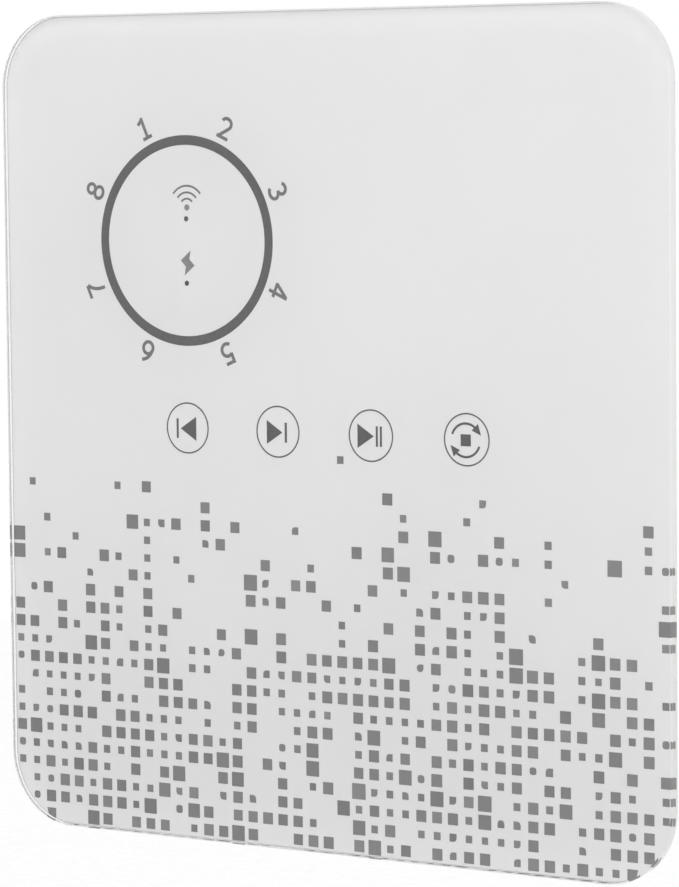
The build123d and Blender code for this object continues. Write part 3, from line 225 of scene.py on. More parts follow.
# ------------------------------------------------------------------ screws
# Zinc-plated steel screws with a cross recess: countersunk in the hanger, pan heads elsewhere.
# Heads are cold-formed and threads are rolled, so every edge is a little soft.
# The six long case screws have a hexagon socket, deep in their holes.
HEADS = {
    # radius and height of the head, radius and pitch of the thread, depth of the recess, in mm; shape
    "hanger_screws": (2.6, 1.4, 1.2, 0.9, 1.0, "countersunk"),
    "board_screws": (2.2, 1.4, 1.2, 0.9, 0.9, "pan"),
    "battery_screws": (2.2, 1.4, 1.2, 0.9, 0.9, "pan"),
    "driver_screws": (2.1, 1.4, 1.1, 0.8, 0.9, "pan"),
}
RECESS_HALF_WIDTH = 0.34     # mm
RECESS_REACH = 0.62          # of the head's radius
DRIVER_SCREW_LENGTH = 8.0    # mm
SCREW_TURN = 0.6             # radians that each recess is turned on from the one before


def grid_faces(rows, columns, start=0):
    """Quads over a grid that is closed around its columns and open along its rows."""
    index = np.arange(rows * columns).reshape(rows, columns) + start
    beside = np.roll(index, -1, axis=1)
    return np.stack([index[:-1], index[1:], beside[1:], beside[:-1]], axis=-1).reshape(-1, 4).tolist()


def closed_grid(points):
    """A tube of grid points with its first and last rows filled in by one face each."""
    rows, columns = points.shape[:2]
    faces = grid_faces(rows, columns)
    last = (rows - 1) * columns
    faces += [list(range(columns)), list(range(last + columns - 1, last - 1, -1))]
    return points.reshape(-1, 3), faces


def piece(name, shells, material, body, smooth=True):
    """One object from closed shells of points and faces, faces outwards, riding on a body."""
    counts = np.cumsum([0] + [len(points) for points, faces in shells])
    points = np.concatenate([points for points, faces in shells])
    faces = [[i + start for i in face] for shell, start in zip(shells, counts) for face in shell[1]]
    mesh = bpy.data.meshes.new(name)
    mesh.from_pydata(points.tolist(), [], faces)
    mesh.materials.append(material)
    work = bmesh.new()
    work.from_mesh(mesh)
    bmesh.ops.recalc_face_normals(work, faces=work.faces)
    work.to_mesh(mesh)
    work.free()
    if smooth:
        mesh.shade_smooth()
    made = bpy.data.objects.new(name, mesh)
    scene.collection.objects.link(made)
    if body:
        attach(made, body)
    return made


def screw_grid(head_radius, head_height, thread_radius, pitch, recess, shape, length):
    """Screw along +Z from its tip: radius and height of each row, turned about Z.

    Thread: radius = core + depth * triangle(height / pitch - angle / 2 pi), fading at both ends.
    Head top: height = dome - recess * (inside the cross), where the cross is two crossed bars.
    """
    angle = np.linspace(0, 2 * pi, 48, endpoint=False)[None, :]
    shank = np.linspace(0, length - head_height, 6 * int((length - head_height) / pitch) + 2)[:, None]
    phase = (shank / pitch - angle / (2 * pi)) % 1
    fade = np.clip(shank / pitch, 0, 1) * np.clip((length - head_height - shank) / pitch, 0, 1)
    crest = (1 - np.abs(2 * phase - 1)) * fade
    core = thread_radius * 0.74 * np.clip(0.35 + shank / (2 * pitch), 0, 1)
    shank_radius = core + (thread_radius - core) * crest
    shank_height = shank + 0 * angle
    base = length - head_height
    if shape == "countersunk":
        under = [(thread_radius, base), (head_radius - 0.12, length - 0.16), (head_radius, length - 0.06)]
        rim = [(head_radius - 0.05, length), (head_radius - 0.3, length)]
        dome = 0.0
    else:
        under = [(thread_radius, base), (head_radius - 0.1, base), (head_radius, base + 0.12)]
        rim = [(head_radius, length - 0.75), (head_radius - 0.12, length - 0.45)]
        rim += [(head_radius - 0.4, length - 0.22)]
        dome = 0.2
    sides = np.array(under + rim[:-1])  # the top's first row is the rim's last point
    side_radius = sides[:, :1] + 0 * angle
    side_height = sides[:, 1:] + 0 * angle
    top_radius = np.linspace(rim[-1][0], 0.02, 16)[:, None] + 0 * angle
    x, y = np.abs(top_radius * np.cos(angle)), np.abs(top_radius * np.sin(angle))
    bars, reach = np.minimum(x, y), np.maximum(x, y)
    inside = np.clip((RECESS_HALF_WIDTH - bars) / 0.08 + 0.5, 0, 1)
    inside = inside * np.clip((RECESS_REACH * head_radius - reach) / (0.35 * recess), 0, 1)
    rise = rim[-1][1] + dome * (1 - (top_radius / rim[-1][0]) ** 2)
    top_height = rise - recess * inside
    radius = np.concatenate([shank_radius, side_radius, top_radius])
    height = np.concatenate([shank_height, side_height, top_height])
    return np.stack([radius * np.cos(angle), radius * np.sin(angle), height], axis=-1)


def stand(points, tip, axis, across):
    """Millimetre points moved to a tip in metres, their Z along axis and their X along across."""
    axis, across = np.asarray(axis, float), np.asarray(across, float)
    third = np.cross(axis, across)
    return np.asarray(tip) + MM * (points @ np.stack([across, third, axis]))


def place_screws(name, tips, axes, length):
    """All the screws of one CAD node, each standing at its tip along its axis, turned a little on."""
    shells = []
    for count, (tip, axis) in enumerate(zip(tips, axes)):
        turn = SCREW_TURN * count + 0.2
        spin = np.array([[np.cos(turn), np.sin(turn), 0], [-np.sin(turn), np.cos(turn), 0], [0, 0, 1]])
        points = screw_grid(*HEADS[name], length) @ spin
        shells.append(closed_grid(stand(points, tip, axis, np.abs(np.roll(axis, 1)))))
    made = piece(name + "_cross_recess", shells, screw_steel, "speaker")
    made.data.set_sharp_from_angle(angle=radians(40))
    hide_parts(name)


screw_steel = plated_steel("zinc_plated_screw_steel", "#9EA2A7", "#DCDFE2", 0.3, 0.22)
for name, heading in (("hanger_screws", 1.0), ("board_screws", -1.0), ("battery_screws", -1.0)):
    low, high = np.array(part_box(name))
    head = HEADS[name][0] * MM
    tip_y = low[1] if heading > 0 else high[1]
    columns = [low[0] + head, high[0] - head] if name != "battery_screws" else [(low[0] + high[0]) / 2]
    tips = [(x, tip_y, z) for x in columns for z in (low[2] + head, high[2] - head)]
    place_screws(name, tips, [np.array([0, heading, 0])] * len(tips), (high[1] - low[1]) / MM)
low, high = np.array(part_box("driver_screws"))
head = HEADS["driver_screws"][0] * MM
tips = [(x, (low[1] + high[1]) / 2, z) for x in (low[0], high[0]) for z in (low[2] + head, high[2] - head)]
place_screws("driver_screws", tips, [np.array([np.sign(-x), 0, 0]) for x, y, z in tips], DRIVER_SCREW_LENGTH)
dress(screw_steel, "case_screws")


# ------------------------------------------------------------------ wall bumpers
# Two feet moulded in black EPDM rubber, pushed into the housing by their stems.
# They keep the lower half of the speaker off the wall.
def rubber(name, dark, pale, grain, depth, roughness=0.62):
    """Moulded rubber: nearly black, matt, with the fine grain of a blasted mould."""
    material, tree, shader, place = surface(name, Roughness=roughness, Specular_IOR_Level=0.42)
    skin = add(tree, "TexNoise", {"Vector": place, "Scale": 1 / (grain * MM), "Detail": 3.0})
    bloom = add(tree, "TexNoise", {"Vector": place, "Scale": 1 / (7 * MM), "Detail": 3.0})
    two_tone(tree, shader, bloom.outputs["Fac"], dark, pale)
    raised(tree, shader, skin.outputs["Fac"], depth)
    return material


BUMPER_ROWS = np.array([
    # radius and distance from the wall, in mm: hollow foot, rounded rim, waist and shoulder
    (0.02, 0.9), (1.6, 0.9), (2.6, 0.7), (3.4, 0.15), (3.9, 0.0), (4.8, 0.0), (5.5, 0.25), (5.9, 0.8),
    (6.0, 1.6), (5.9, 2.4), (5.45, 2.9), (5.3, 3.2), (5.45, 3.5), (5.9, 4.0), (6.0, 4.6), (6.0, 8.6),
    (5.8, 9.0), (2.4, 9.0), (2.35, 12.3), (2.1, 12.5), (0.02, 12.5),
])


def turned(rows, centre, axis, across, steps=64):
    """Rows of radius and height in mm, turned once round an axis from a centre in metres."""
    angle = np.linspace(0, 2 * pi, steps, endpoint=False)[None, :]
    radius, height = rows[:, :1], rows[:, 1:] + 0 * angle
    points = np.stack([radius * np.cos(angle), radius * np.sin(angle), height], axis=-1)
    return closed_grid(stand(points, centre, axis, across))


foot_rubber = rubber("moulded_epdm_rubber", "#151515", "#232323", 0.25, 0.01)
low, high = np.array(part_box("wall_bumpers"))
foot = BUMPER_ROWS[:, 0].max() * MM
seats = [(x, high[1], (low[2] + high[2]) / 2) for x in (low[0] + foot, high[0] - foot)]
feet = [turned(BUMPER_ROWS, seat, (0, -1, 0), (1, 0, 0)) for seat in seats]
bumpers = piece("rubber_bumpers", feet, foot_rubber, "speaker")
bumpers.data.set_sharp_from_angle(angle=radians(50))
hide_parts("wall_bumpers")


# ------------------------------------------------------------------ housing and front frame
# The tub and the flat frame behind the glass are injection moulded in white ABS.
# Spark-eroded mould steel gives them a fine matt grain, and every edge is a little round.
def moulded(name, dark, pale, roughness, grain, depth, edge_round=SOFT_EDGE):
    """Moulded plastic: even colour with a faint flow drift, fine spark grain and soft edges."""
    material, tree, shader, place = surface(name, Roughness=roughness)
    spark = add(tree, "TexNoise", {"Vector": place, "Scale": 1 / (grain * MM), "Detail": 2.0})
    flow = add(tree, "TexNoise", {"Vector": place, "Scale": 1 / (30 * MM), "Detail": 2.0})
    two_tone(tree, shader, flow.outputs["Fac"], dark, pale)
    soften(tree, raised(tree, shader, spark.outputs["Fac"], depth), edge_round)
    return material


# White ABS: a neutral, slightly satin white, drawn with a 0.6 mm grain so that it shows.
textured_abs = moulded("spark_textured_white_abs", "#CACBCC", "#D2D3D3", 0.45, 0.6, 0.02)
dress(textured_abs, "rear_housing", "port_bezel")
dress(moulded("satin_white_abs", "#C8C9CA", "#D0D1D1", 0.36, 0.5, 0.01), "front_frame")
dress(rubber("moulded_grey_silicone", "#94989C", "#A6AAAE", 0.4, 0.006, 0.5), "case_seal")


# ------------------------------------------------------------------ passive radiator
# An aluminium plate with a steel weight hangs in a ring by a half-roll of butyl rubber.
# The roll is moulded in one piece, glued to the ledge outside and to the plate inside.
CROWN_STEPS = 14


def half_roll(rim, middle, radius, lip, thick):
    """Closed section of a surround as rows of distance from the spine and level, in mm.

    Outer face: flat rim, then middle + radius * cos a, radius * sin a, then flat lip.
    Inner face: the same with the radius less the thickness, walked back.
    """
    turn = np.linspace(0.16, pi - 0.16, CROWN_STEPS)
    outer = np.column_stack([middle + radius * np.cos(turn), radius * np.sin(turn)])
    bore = radius - thick
    hollow = np.column_stack([middle - bore * np.cos(turn), bore * np.sin(turn)])
    top = [(rim, thick), (middle + radius + 0.25, thick)]
    top_in = [(middle - radius - 0.25, thick), (lip, thick)]
    under = [(lip, 0.0), (middle - bore - 0.15, 0.0)]
    under_out = [(middle + bore + 0.15, 0.0), (rim, 0.0)]
    return np.vstack([top, outer, top_in, under, hollow, under_out])


def round_spine(section, reach, origin, along, across, out, straight=14, bend=36):
    """A section carried round a racetrack: point = spine end + distance * direction, level along out.

    The spine runs from -reach to reach; with no reach, the path is a circle.
    """
    half_turn = np.linspace(-pi / 2, pi / 2, bend)
    if reach > 0:
        run = np.linspace(-reach, reach, straight + 2)[1:-1]
        level_run = np.full(straight, pi / 2)
        angle = np.concatenate([half_turn, level_run, half_turn + pi, -level_run])
        spine = np.concatenate([np.full(bend, reach), run[::-1], np.full(bend, -reach), run])
    else:
        angle = np.linspace(0, 2 * pi, 4 * bend, endpoint=False)
        spine = np.zeros(len(angle))
    distance, level = section[None, :, 0], section[None, :, 1]
    u = spine[:, None] + distance * np.cos(angle)[:, None]
    v = distance * np.sin(angle)[:, None]
    w = level + 0 * u
    frame_axes = np.stack([along, across, out]).astype(float)
    points = np.asarray(origin) + MM * (np.stack([u, v, w], axis=-1) @ frame_axes)
    index = np.arange(points.shape[0] * points.shape[1]).reshape(points.shape[:2])
    beside = np.roll(index, -1, axis=1)
    following = np.roll(index, -1, axis=0)
    faces = np.stack([index, following, np.roll(beside, -1, axis=0), beside], axis=-1)
    distances = distance + 0 * u
    return points.reshape(-1, 3), faces.reshape(-1, 4).tolist(), distances.reshape(-1)


def stretch_between(made, distances, outer, inner):
    """Bakes a surround's placement into its mesh and works out a share that rises smoothly from rim to lip,
    which nothing uses.
    """
    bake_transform(made)
    share = np.clip((outer - distances) / (outer - inner), 0, 1)
    share = share * share * (3 - 2 * share)


butyl = rubber("moulded_butyl_rubber", "#121213", "#1C1C1E", 0.2, 0.006, 0.5)
low, high = np.array(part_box("radiator_surround"))
RADIATOR_CENTRE = np.array([(low[0] + high[0]) / 2, low[1], (low[2] + high[2]) / 2])
section = half_roll(19.9, 15.5, 2.5, 11.5, 0.5)
points, faces, distances = round_spine(section, 0, RADIATOR_CENTRE, (1, 0, 0), (0, 0, 1), (0, 1, 0))
radiator_roll = piece("radiator_half_roll", [(points, faces)], butyl, None)
stretch_between(radiator_roll, distances, 18.0, 13.0)
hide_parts("radiator_surround")


def brushed_foil(name, dark, pale, line, stretch, roughness):
    """Brushed aluminium: soft grey metal whose bright lines run along one axis."""
    material, tree, shader, place = surface(name, Metallic=1.0)
    along = add(tree, "Mapping", {"Vector": place, "Scale": stretch})
    hair = add(tree, "TexNoise", {"Vector": along.outputs[0], "Scale": 1 / (line * MM), "Detail": 3.0})
    two_tone(tree, shader, hair.outputs["Fac"], dark, pale)
    uneven(tree, shader, hair.outputs["Fac"], roughness, 0.15)
    raised(tree, shader, hair.outputs["Fac"], 0.006)
    return material


def turned_steel(name, dark, pale, centre, axes, line, roughness):
    """Lathe-turned plated steel: rings about an axis, from the distance in the plane across it."""
    material, tree, shader, place = surface(name, Metallic=1.0, Roughness=roughness)
    shift = tuple(-np.asarray(centre) * axes)
    seat = add(tree, "Mapping", {"Vector": place, "Location": shift, "Scale": tuple(axes)})
    away = add(tree, "VectorMath", {0: seat.outputs[0]}, operation="LENGTH")
    ring = add(tree, "Math", {0: away.outputs["Value"], 1: 2 * pi / (line * MM)}, operation="MULTIPLY")
    wave = add(tree, "Math", {0: ring.outputs[0]}, operation="SINE")
    level = add(tree, "MapRange", {"Value": wave.outputs[0], "From Min": -1.0})
    cloud = add(tree, "TexNoise", {"Vector": place, "Scale": 1 / (3 * MM), "Detail": 3.0})
    blend = add(tree, "Mix", {0: 0.65, 2: level.outputs[0], 3: cloud.outputs["Fac"]})
    two_tone(tree, shader, blend.outputs[0], dark, pale)
    raised(tree, shader, level.outputs[0], 0.006)
    return material


filled_plastic = moulded("glass_filled_black_plastic", "#161617", "#222224", 0.5, 0.35, 0.02)
dress(filled_plastic, "radiator_frame", "basket_left", "basket_right")
plate = brushed_foil("brushed_aluminium_plate", "#9C9FA3", "#C9CBCE", 0.25, (1 / 30, 1, 1), 0.28)
dress(plate, "radiator_plate")
low, high = np.array(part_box("radiator_mass"))
weight = turned_steel("turned_steel_weight", "#84878B", "#B4B7BA", (low + high) / 2, (1, 0, 1), 0.5, 0.3)
dress(weight, "radiator_mass")


# ------------------------------------------------------------------ side drivers
# Each driver is a racetrack basket with a brushed aluminium diaphragm in a butyl half-roll,
# a copper coil on a treated-cloth spider, and a small neodymium motor.
ROLL = half_roll(10.1, 8.1, 1.3, 6.1, 0.4)
SPINE_REACH = 23.2


def corrugated(inner, outer, thick, waves, height):
    """Section of a spider: level = height * sin(2 pi * waves * share), doubled by its thickness."""
    share = np.linspace(0, 1, 12 * waves + 1)
    level = height * np.sin(2 * pi * waves * share) * np.sin(pi * share) ** 0.5
    distance = outer + (inner - outer) * share
    top = np.column_stack([distance, level + thick])
    return np.vstack([top, np.column_stack([distance, level])[::-1]])


def bands(tree, place, pitch, way, distortion=0.0):
    """Soft grey bands at a pitch in millimetres along one axis; the wave repeats each 1 / (3.2 scale)."""
    scale = 1 / (pitch * MM) / 3.2
    wave = {"Vector": place, "Scale": scale, "Distortion": distortion}
    return add(tree, "TexWave", wave, bands_direction=way).outputs["Fac"]


# Cotton dipped in brown phenolic resin and pressed hot: amber, dry, with its weave standing out.
spider_cloth, tree, shader, place = surface("resin_treated_cotton", Roughness=0.75)
COTTON_THREAD = 0.45         # mm between threads, drawn coarser than the real 0.25 so that it shows
cotton = [bands(tree, place, COTTON_THREAD, way, 0.4) for way in ("Y", "Z")]
cross = add(tree, "Math", {0: cotton[0], 1: cotton[1]}, operation="MULTIPLY")
two_tone(tree, shader, cross.outputs[0], "#8A5E22", "#B98A45", 0.1, 0.8)
raised(tree, shader, cross.outputs[0], 0.05)

# Water-repelling polyester mesh: a dark open weave of flat monofilament.
mesh_cloth, tree, shader, place = surface("woven_polyester_mesh", Roughness=0.7)
MONOFILAMENT = 0.6           # mm between filaments
filaments = [bands(tree, place, MONOFILAMENT, way, 0.2) for way in ("Y", "Z")]
thread = add(tree, "Math", {0: filaments[0], 1: filaments[1]}, operation="MAXIMUM")
two_tone(tree, shader, thread.outputs[0], "#0B0B0C", "#3A3B3D", 0.35, 0.95)
raised(tree, shader, thread.outputs[0], 0.08)

# Enamelled copper wire, wound turn against turn: fine bright ribs round the tube.
coil_copper, tree, shader, place = surface(
    "enamelled_copper_wire", Metallic=1.0, Roughness=0.3, Coat_Weight=0.5)
WIRE = 0.3                   # mm from turn to turn
turns = bands(tree, place, WIRE, "X")
two_tone(tree, shader, turns, "#6E3216", "#D08350", 0.1, 0.9)
raised(tree, shader, turns, 0.08)

cone_foil = brushed_foil("brushed_aluminium_diaphragm", "#A2A5A9", "#D3D5D8", 0.2, (1, 1, 1 / 40), 0.26)
grille_abs = moulded("spark_textured_grey_abs", "#B9BBBD", "#C6C8CA", 0.45, 0.5, 0.02)
for side, sign in (("left", -1.0), ("right", 1.0)):
    out = np.array([sign, 0.0, 0.0])
    low, high = np.array(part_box("surround_" + side))
    origin = np.array([high[0] if sign < 0 else low[0], (low[1] + high[1]) / 2, (low[2] + high[2]) / 2])
    points, faces, distances = round_spine(ROLL, SPINE_REACH, origin, (0, 0, 1), (0, -sign, 0), out)
    roll = piece("driver_half_roll_" + side, [(points, faces)], butyl, None)
    stretch_between(roll, distances, 9.4, 6.8)
    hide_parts("surround_" + side)

    low, high = np.array(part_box("spider_" + side))
    centre = np.array([high[0] if sign < 0 else low[0], origin[1], origin[2]])
    section = corrugated(6.0, 9.0, 0.16, 3, 0.22) + (0, 0.07)
    points, faces, distances = round_spine(section, 0, centre, (0, 0, 1), (0, -sign, 0), out)
    spider = piece("driver_spider_" + side, [(points, faces)], spider_cloth, None)
    stretch_between(spider, distances, 8.8, 6.1)
    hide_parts("spider_" + side)

    dress(cone_foil, "cone_" + side)
    seat = origin, (0, 1, 1)
    cap = turned_steel("spun_aluminium_cap_" + side, "#A9ACB0", "#D6D8DA", *seat, 0.45, 0.26)
    dress(cap, "dust_cap_" + side)
    dress(coil_copper, "voice_coil_" + side)
    motor = turned_steel("turned_motor_steel_" + side, "#7E8185", "#A9ACAF", *seat, 0.6, 0.32)
    dress(motor, "motor_yoke_" + side, "motor_top_plate_" + side)
    magnet = turned_steel("nickel_plated_magnet_" + side, "#A8A7A2", "#D4D3CF", *seat, 1.2, 0.16)
    dress(magnet, "motor_magnet_" + side)
    dress(mesh_cloth, "grille_mesh_" + side)
    dress(grille_abs, "grille_" + side)


# ------------------------------------------------------------------ battery
# Two round lithium cells in one blue heat-shrink sleeve, strapped down by a black moulded clamp.
# Shrinking pulls faint wrinkles round the sleeve, across the cells.
battery_sleeve, tree, shader, place = surface("heat_shrunk_pvc_sleeve", Roughness=0.28, Coat_Weight=0.3)
gather = add(tree, "Mapping", {"Vector": place, "Scale": (1, 1 / 5, 1 / 5)})
wrinkle = add(tree, "TexNoise", {"Vector": gather.outputs[0], "Scale": 1 / (2.4 * MM), "Detail": 3.0})
two_tone(tree, shader, wrinkle.outputs["Fac"], "#17458C", "#2B62B5")
raised(tree, shader, wrinkle.outputs["Fac"], 0.12)
dress(battery_sleeve, "battery_pack")

# PVC wire insulation: glossy red or black, drawn through a die that leaves lines along it.
for name, dark, pale in (("battery_lead", "#8E1212", "#B51D1D"), ("driver_leads", "#141416", "#26262A")):
    insulation, tree, shader, place = surface("drawn_pvc_insulation_" + name, Roughness=0.32)
    die = add(tree, "TexNoise", {"Vector": place, "Scale": 1 / (0.5 * MM), "Detail": 2.0})
    two_tone(tree, shader, die.outputs["Fac"], dark, pale)
    raised(tree, shader, die.outputs["Fac"], 0.01)
    dress(insulation, name)

black_abs = moulded("satin_black_abs", "#17181A", "#232427", 0.42, 0.4, 0.012, 0.2)
dress(black_abs, "battery_clamp", "light_baffle", "switch_plunger")


# ------------------------------------------------------------------ circuit boards
# Glass-epoxy boards with copper tracks under solder mask and round tinned vias.
# Connectors on the main board are natural nylon; the two boards behind the print are white.
def layered(tree, amount, under, over):
    """Colour that goes from under to over as a grey amount goes from 0 to 1."""
    return add(tree, "Mix", {0: amount, 6: under, 7: over}, data_type="RGBA").outputs[2]


def solder_mask(name, mask_dark, mask_pale, track, pads):
    """Printed board in the XZ plane: mask over laminate, raised tracks in brick runs, tinned vias.

    Returns the tree, the shader, the place's parts and the colour, so that a board can add to them.
    """
    material, tree, shader, place = surface(name)
    flat = add(tree, "SeparateXYZ", {0: place})
    plan = add(tree, "CombineXYZ", {0: flat.outputs[0], 1: flat.outputs[2]})
    runs = add(
        tree, "TexBrick",
        {"Vector": plan.outputs[0], "Scale": 1.0, "Mortar Size": 0.16 * MM, "Mortar Smooth": 0.3,
         "Brick Width": 7.6 * MM, "Row Height": 1.27 * MM, "Color1": (0, 0, 0, 1), "Color2": (0, 0, 0, 1),
         "Mortar": (1, 1, 1, 1)},
        offset=0.37, offset_frequency=3, squash=0.55, squash_frequency=4,
    )
    zone = add(tree, "TexNoise", {"Vector": plan.outputs[0], "Scale": 1 / (11 * MM), "Detail": 1.0})
    wired = add(tree, "Math", {0: zone.outputs["Fac"], 1: 0.47}, operation="GREATER_THAN")
    tracks = add(tree, "Math", {0: runs.outputs["Fac"], 1: wired.outputs[0]}, operation="MULTIPLY")
    cell = add(tree, "TexVoronoi", {"Vector": plan.outputs[0], "Scale": 1 / (4.2 * MM)})
    via = add(tree, "Math", {0: cell.outputs["Distance"], 1: 0.13}, operation="LESS_THAN")
    cloud = add(tree, "TexNoise", {"Vector": place, "Scale": 1 / (5 * MM), "Detail": 2.0})
    mask = layered(tree, cloud.outputs["Fac"], linear(mask_dark), linear(mask_pale))
    lined = layered(tree, tracks.outputs[0], mask, linear(track))
    tinned = layered(tree, via.outputs[0], lined, linear(pads))
    tree.links.new(tinned, shader.inputs["Base Color"])
    tree.links.new(via.outputs[0], shader.inputs["Metallic"])
    shader.inputs["Roughness"].default_value = 0.3
    raised(tree, shader, tracks.outputs[0], 0.04)
    return material, tree, shader, flat, tinned


green_board, tree, shader, flat, plain = solder_mask(
    "green_solder_mask", "#0E4A2A", "#14603A", "#2C8254", "#C9CBCC")
capacitor_low, capacitor_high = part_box("capacitors")
laminate_back = capacitor_low[1]
LAMINATE = 1.6               # mm thick
SKIN = 0.05                  # mm past the laminate, where a connector begins
proud_back = add(tree, "Math", {0: flat.outputs[1], 1: laminate_back + SKIN * MM}, operation="GREATER_THAN")
laminate_front = laminate_back - (LAMINATE + SKIN) * MM
proud_front = add(tree, "Math", {0: flat.outputs[1], 1: laminate_front}, operation="LESS_THAN")
proud = add(tree, "Math", {0: proud_back.outputs[0], 1: proud_front.outputs[0]}, operation="MAXIMUM")
nylon = layered(tree, proud.outputs[0], plain, linear("#DDD8C8"))
tree.links.new(nylon, shader.inputs["Base Color"])
dress(green_board, "main_board")
white_board = solder_mask("white_solder_mask", "#D9DAD8", "#E6E7E5", "#C6C8C4", "#C2A15A")[0]
dress(white_board, "touch_board", "led_board")

# Tin-plated steel, pressed: bright, faintly spangled, with soft bends.
tin, tree, shader, place = surface("pressed_tin_plate", Metallic=1.0, Roughness=0.24)
spangle = add(tree, "TexVoronoi", {"Vector": place, "Scale": 1 / (2.2 * MM)})
two_tone(tree, shader, spangle.outputs["Distance"], "#B9BAB8", "#D9DAD8", 0.1, 0.8)
drawn = add(tree, "TexNoise", {"Vector": place, "Scale": 1 / (1.5 * MM), "Detail": 2.0})
soften(tree, raised(tree, shader, drawn.outputs["Fac"], 0.02), 0.25)
dress(tin, "shield_can", "charging_socket", "power_switch")

# Drawn aluminium cans with a black polarity mark on the top, at the side away from the middle.
can_skin = brushed_foil("drawn_aluminium_can", "#A6A9AC", "#CDD0D2", 0.2, (1, 1 / 20, 1), 0.25)
tree = can_skin.node_tree
shader = tree.nodes["Principled BSDF"]
place = tree.nodes["Texture Coordinate"].outputs["Object"]
flat = add(tree, "SeparateXYZ", {0: place})
MARK_WIDTH = 2.2             # mm
mark_edge, top_face = capacitor_high[0] - MARK_WIDTH * MM, capacitor_high[1] - SKIN * MM
mark_x = add(tree, "Math", {0: flat.outputs[0], 1: mark_edge}, operation="GREATER_THAN")
mark_y = add(tree, "Math", {0: flat.outputs[1], 1: top_face}, operation="GREATER_THAN")
mark = add(tree, "Math", {0: mark_x.outputs[0], 1: mark_y.outputs[0]}, operation="MULTIPLY")
metal_colour = shader.inputs["Base Color"].links[0].from_socket
inked = layered(tree, mark.outputs[0], metal_colour, linear("#101012"))
tree.links.new(inked, shader.inputs["Base Color"])
dress(can_skin, "capacitors")

# Polyimide film over copper tracks: clear amber, with the tracks as darker stripes along it.
flex_film, tree, shader, place = surface("polyimide_flex_film", Roughness=0.3)
FLEX_TRACK = 1.0             # mm from track to track
tracks = bands(tree, place, FLEX_TRACK, "X")
two_tone(tree, shader, tracks, "#8C4A12", "#C9812E", 0.35, 0.65)
raised(tree, shader, tracks, 0.03)
dress(flex_film, "touch_flex")


# ------------------------------------------------------------------ power button and port flap
# The button is moulded in grey ABS; the flap over the charging port is a soft grey elastomer.
# The flap turns on a drawn stainless pin.
dress(moulded("satin_grey_abs", "#A0A2A4", "#B2B4B6", 0.38, 0.4, 0.01), "power_button")
dress(moulded("soft_grey_tpu", "#B4B6B8", "#C3C5C7", 0.58, 0.3, 0.012, 0.25), "port_flap")
dress(brushed_foil("drawn_stainless_pin", "#94979A", "#C6C9CC", 0.15, (1 / 20, 1, 1), 0.25), "flap_hinge_pin")


# ------------------------------------------------------------------ light module
# White lamps on a round board shine through a milky acrylic disc behind the printed ring.
# Each lamp is a white moulded cup, filled level with yellow phosphor resin.
lamp_low, lamp_high = np.array(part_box("leds"))
LAMP_RING_RADIUS = 26.9      # mm
LAMP_HALF = 0.8              # mm, half of a lamp's side
ICON_LAMP_HEIGHTS = (5.6, -11.1)
CUP_ROWS = np.array([
    # reach and height in mm: base, side, rim, and the hollow that the resin fills
    (0.02, 0.0), (0.8, 0.0), (0.8, 0.52), (0.74, 0.6), (0.62, 0.6), (0.56, 0.5), (0.3, 0.54), (0.02, 0.56),
])


def lamp_cup(centre, turn):
    """A lamp: squared rings |x|^6 + |z|^6 = r^6, up its side, over the rim and down into the cup."""
    angle = np.linspace(0, 2 * pi, 24, endpoint=False)[None, :]
    squared = (np.abs(np.cos(angle)) ** 6 + np.abs(np.sin(angle)) ** 6) ** (-1 / 6)
    radius = CUP_ROWS[:, :1] * squared
    spun = angle + turn
    points = np.stack([radius * np.cos(spun), radius * np.sin(spun), CUP_ROWS[:, 1:] + 0 * angle], axis=-1)
    shape, faces = closed_grid(stand(points, centre, (0, -1, 0), (1, 0, 0)))
    return shape, faces, np.repeat(CUP_ROWS[:, 0], angle.shape[1])


lamp_skin, tree, shader, place = surface("phosphor_lamp_resin", Roughness=0.3)
reach = add(tree, "Attribute", attribute_name="reach")
two_tone(tree, shader, reach.outputs["Fac"], "#E8C646", "#F2F2EE", 0.55, 0.62)
grit = add(tree, "TexNoise", {"Vector": place, "Scale": 1 / (0.1 * MM), "Detail": 2.0})
raised(tree, shader, grit.outputs["Fac"], 0.01)
LAMP_TURNS = pi / 8 + np.arange(8) * pi / 4
top_lamp = LAMP_RING_RADIUS * np.cos(pi / 8) + LAMP_HALF * (np.cos(pi / 8) + np.sin(pi / 8))
lamp_x, lamp_z = (lamp_low[0] + lamp_high[0]) / 2, lamp_high[2] - top_lamp * MM
spots = [(LAMP_RING_RADIUS * np.cos(turn), LAMP_RING_RADIUS * np.sin(turn), turn) for turn in LAMP_TURNS]
spots += [(0.0, height, 0.0) for height in ICON_LAMP_HEIGHTS]
cups = [lamp_cup((lamp_x + x * MM, lamp_high[1], lamp_z + z * MM), turn) for x, z, turn in spots]
lamps = piece("phosphor_lamps", [cup[:2] for cup in cups], lamp_skin, "speaker")
reach_attribute = lamps.data.attributes.new("reach", "FLOAT", "POINT")
reach_attribute.data.foreach_set("value", np.concatenate([cup[2] for cup in cups]).astype(np.float32))
lamps.data.set_sharp_from_angle(angle=radians(40))
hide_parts("leds")

# Opal acrylic: milky white that glows a little where light enters, with a silk surface.
opal, tree, shader, place = surface(
    "opal_acrylic", Roughness=0.35, Subsurface_Weight=0.25, Subsurface_Scale=0.002)
haze = add(tree, "TexNoise", {"Vector": place, "Scale": 1 / (0.8 * MM), "Detail": 2.0})
two_tone(tree, shader, haze.outputs["Fac"], "#EAEAE6", "#F4F4F1")
raised(tree, shader, haze.outputs["Fac"], 0.004)
dress(opal, "diffuser_disc")

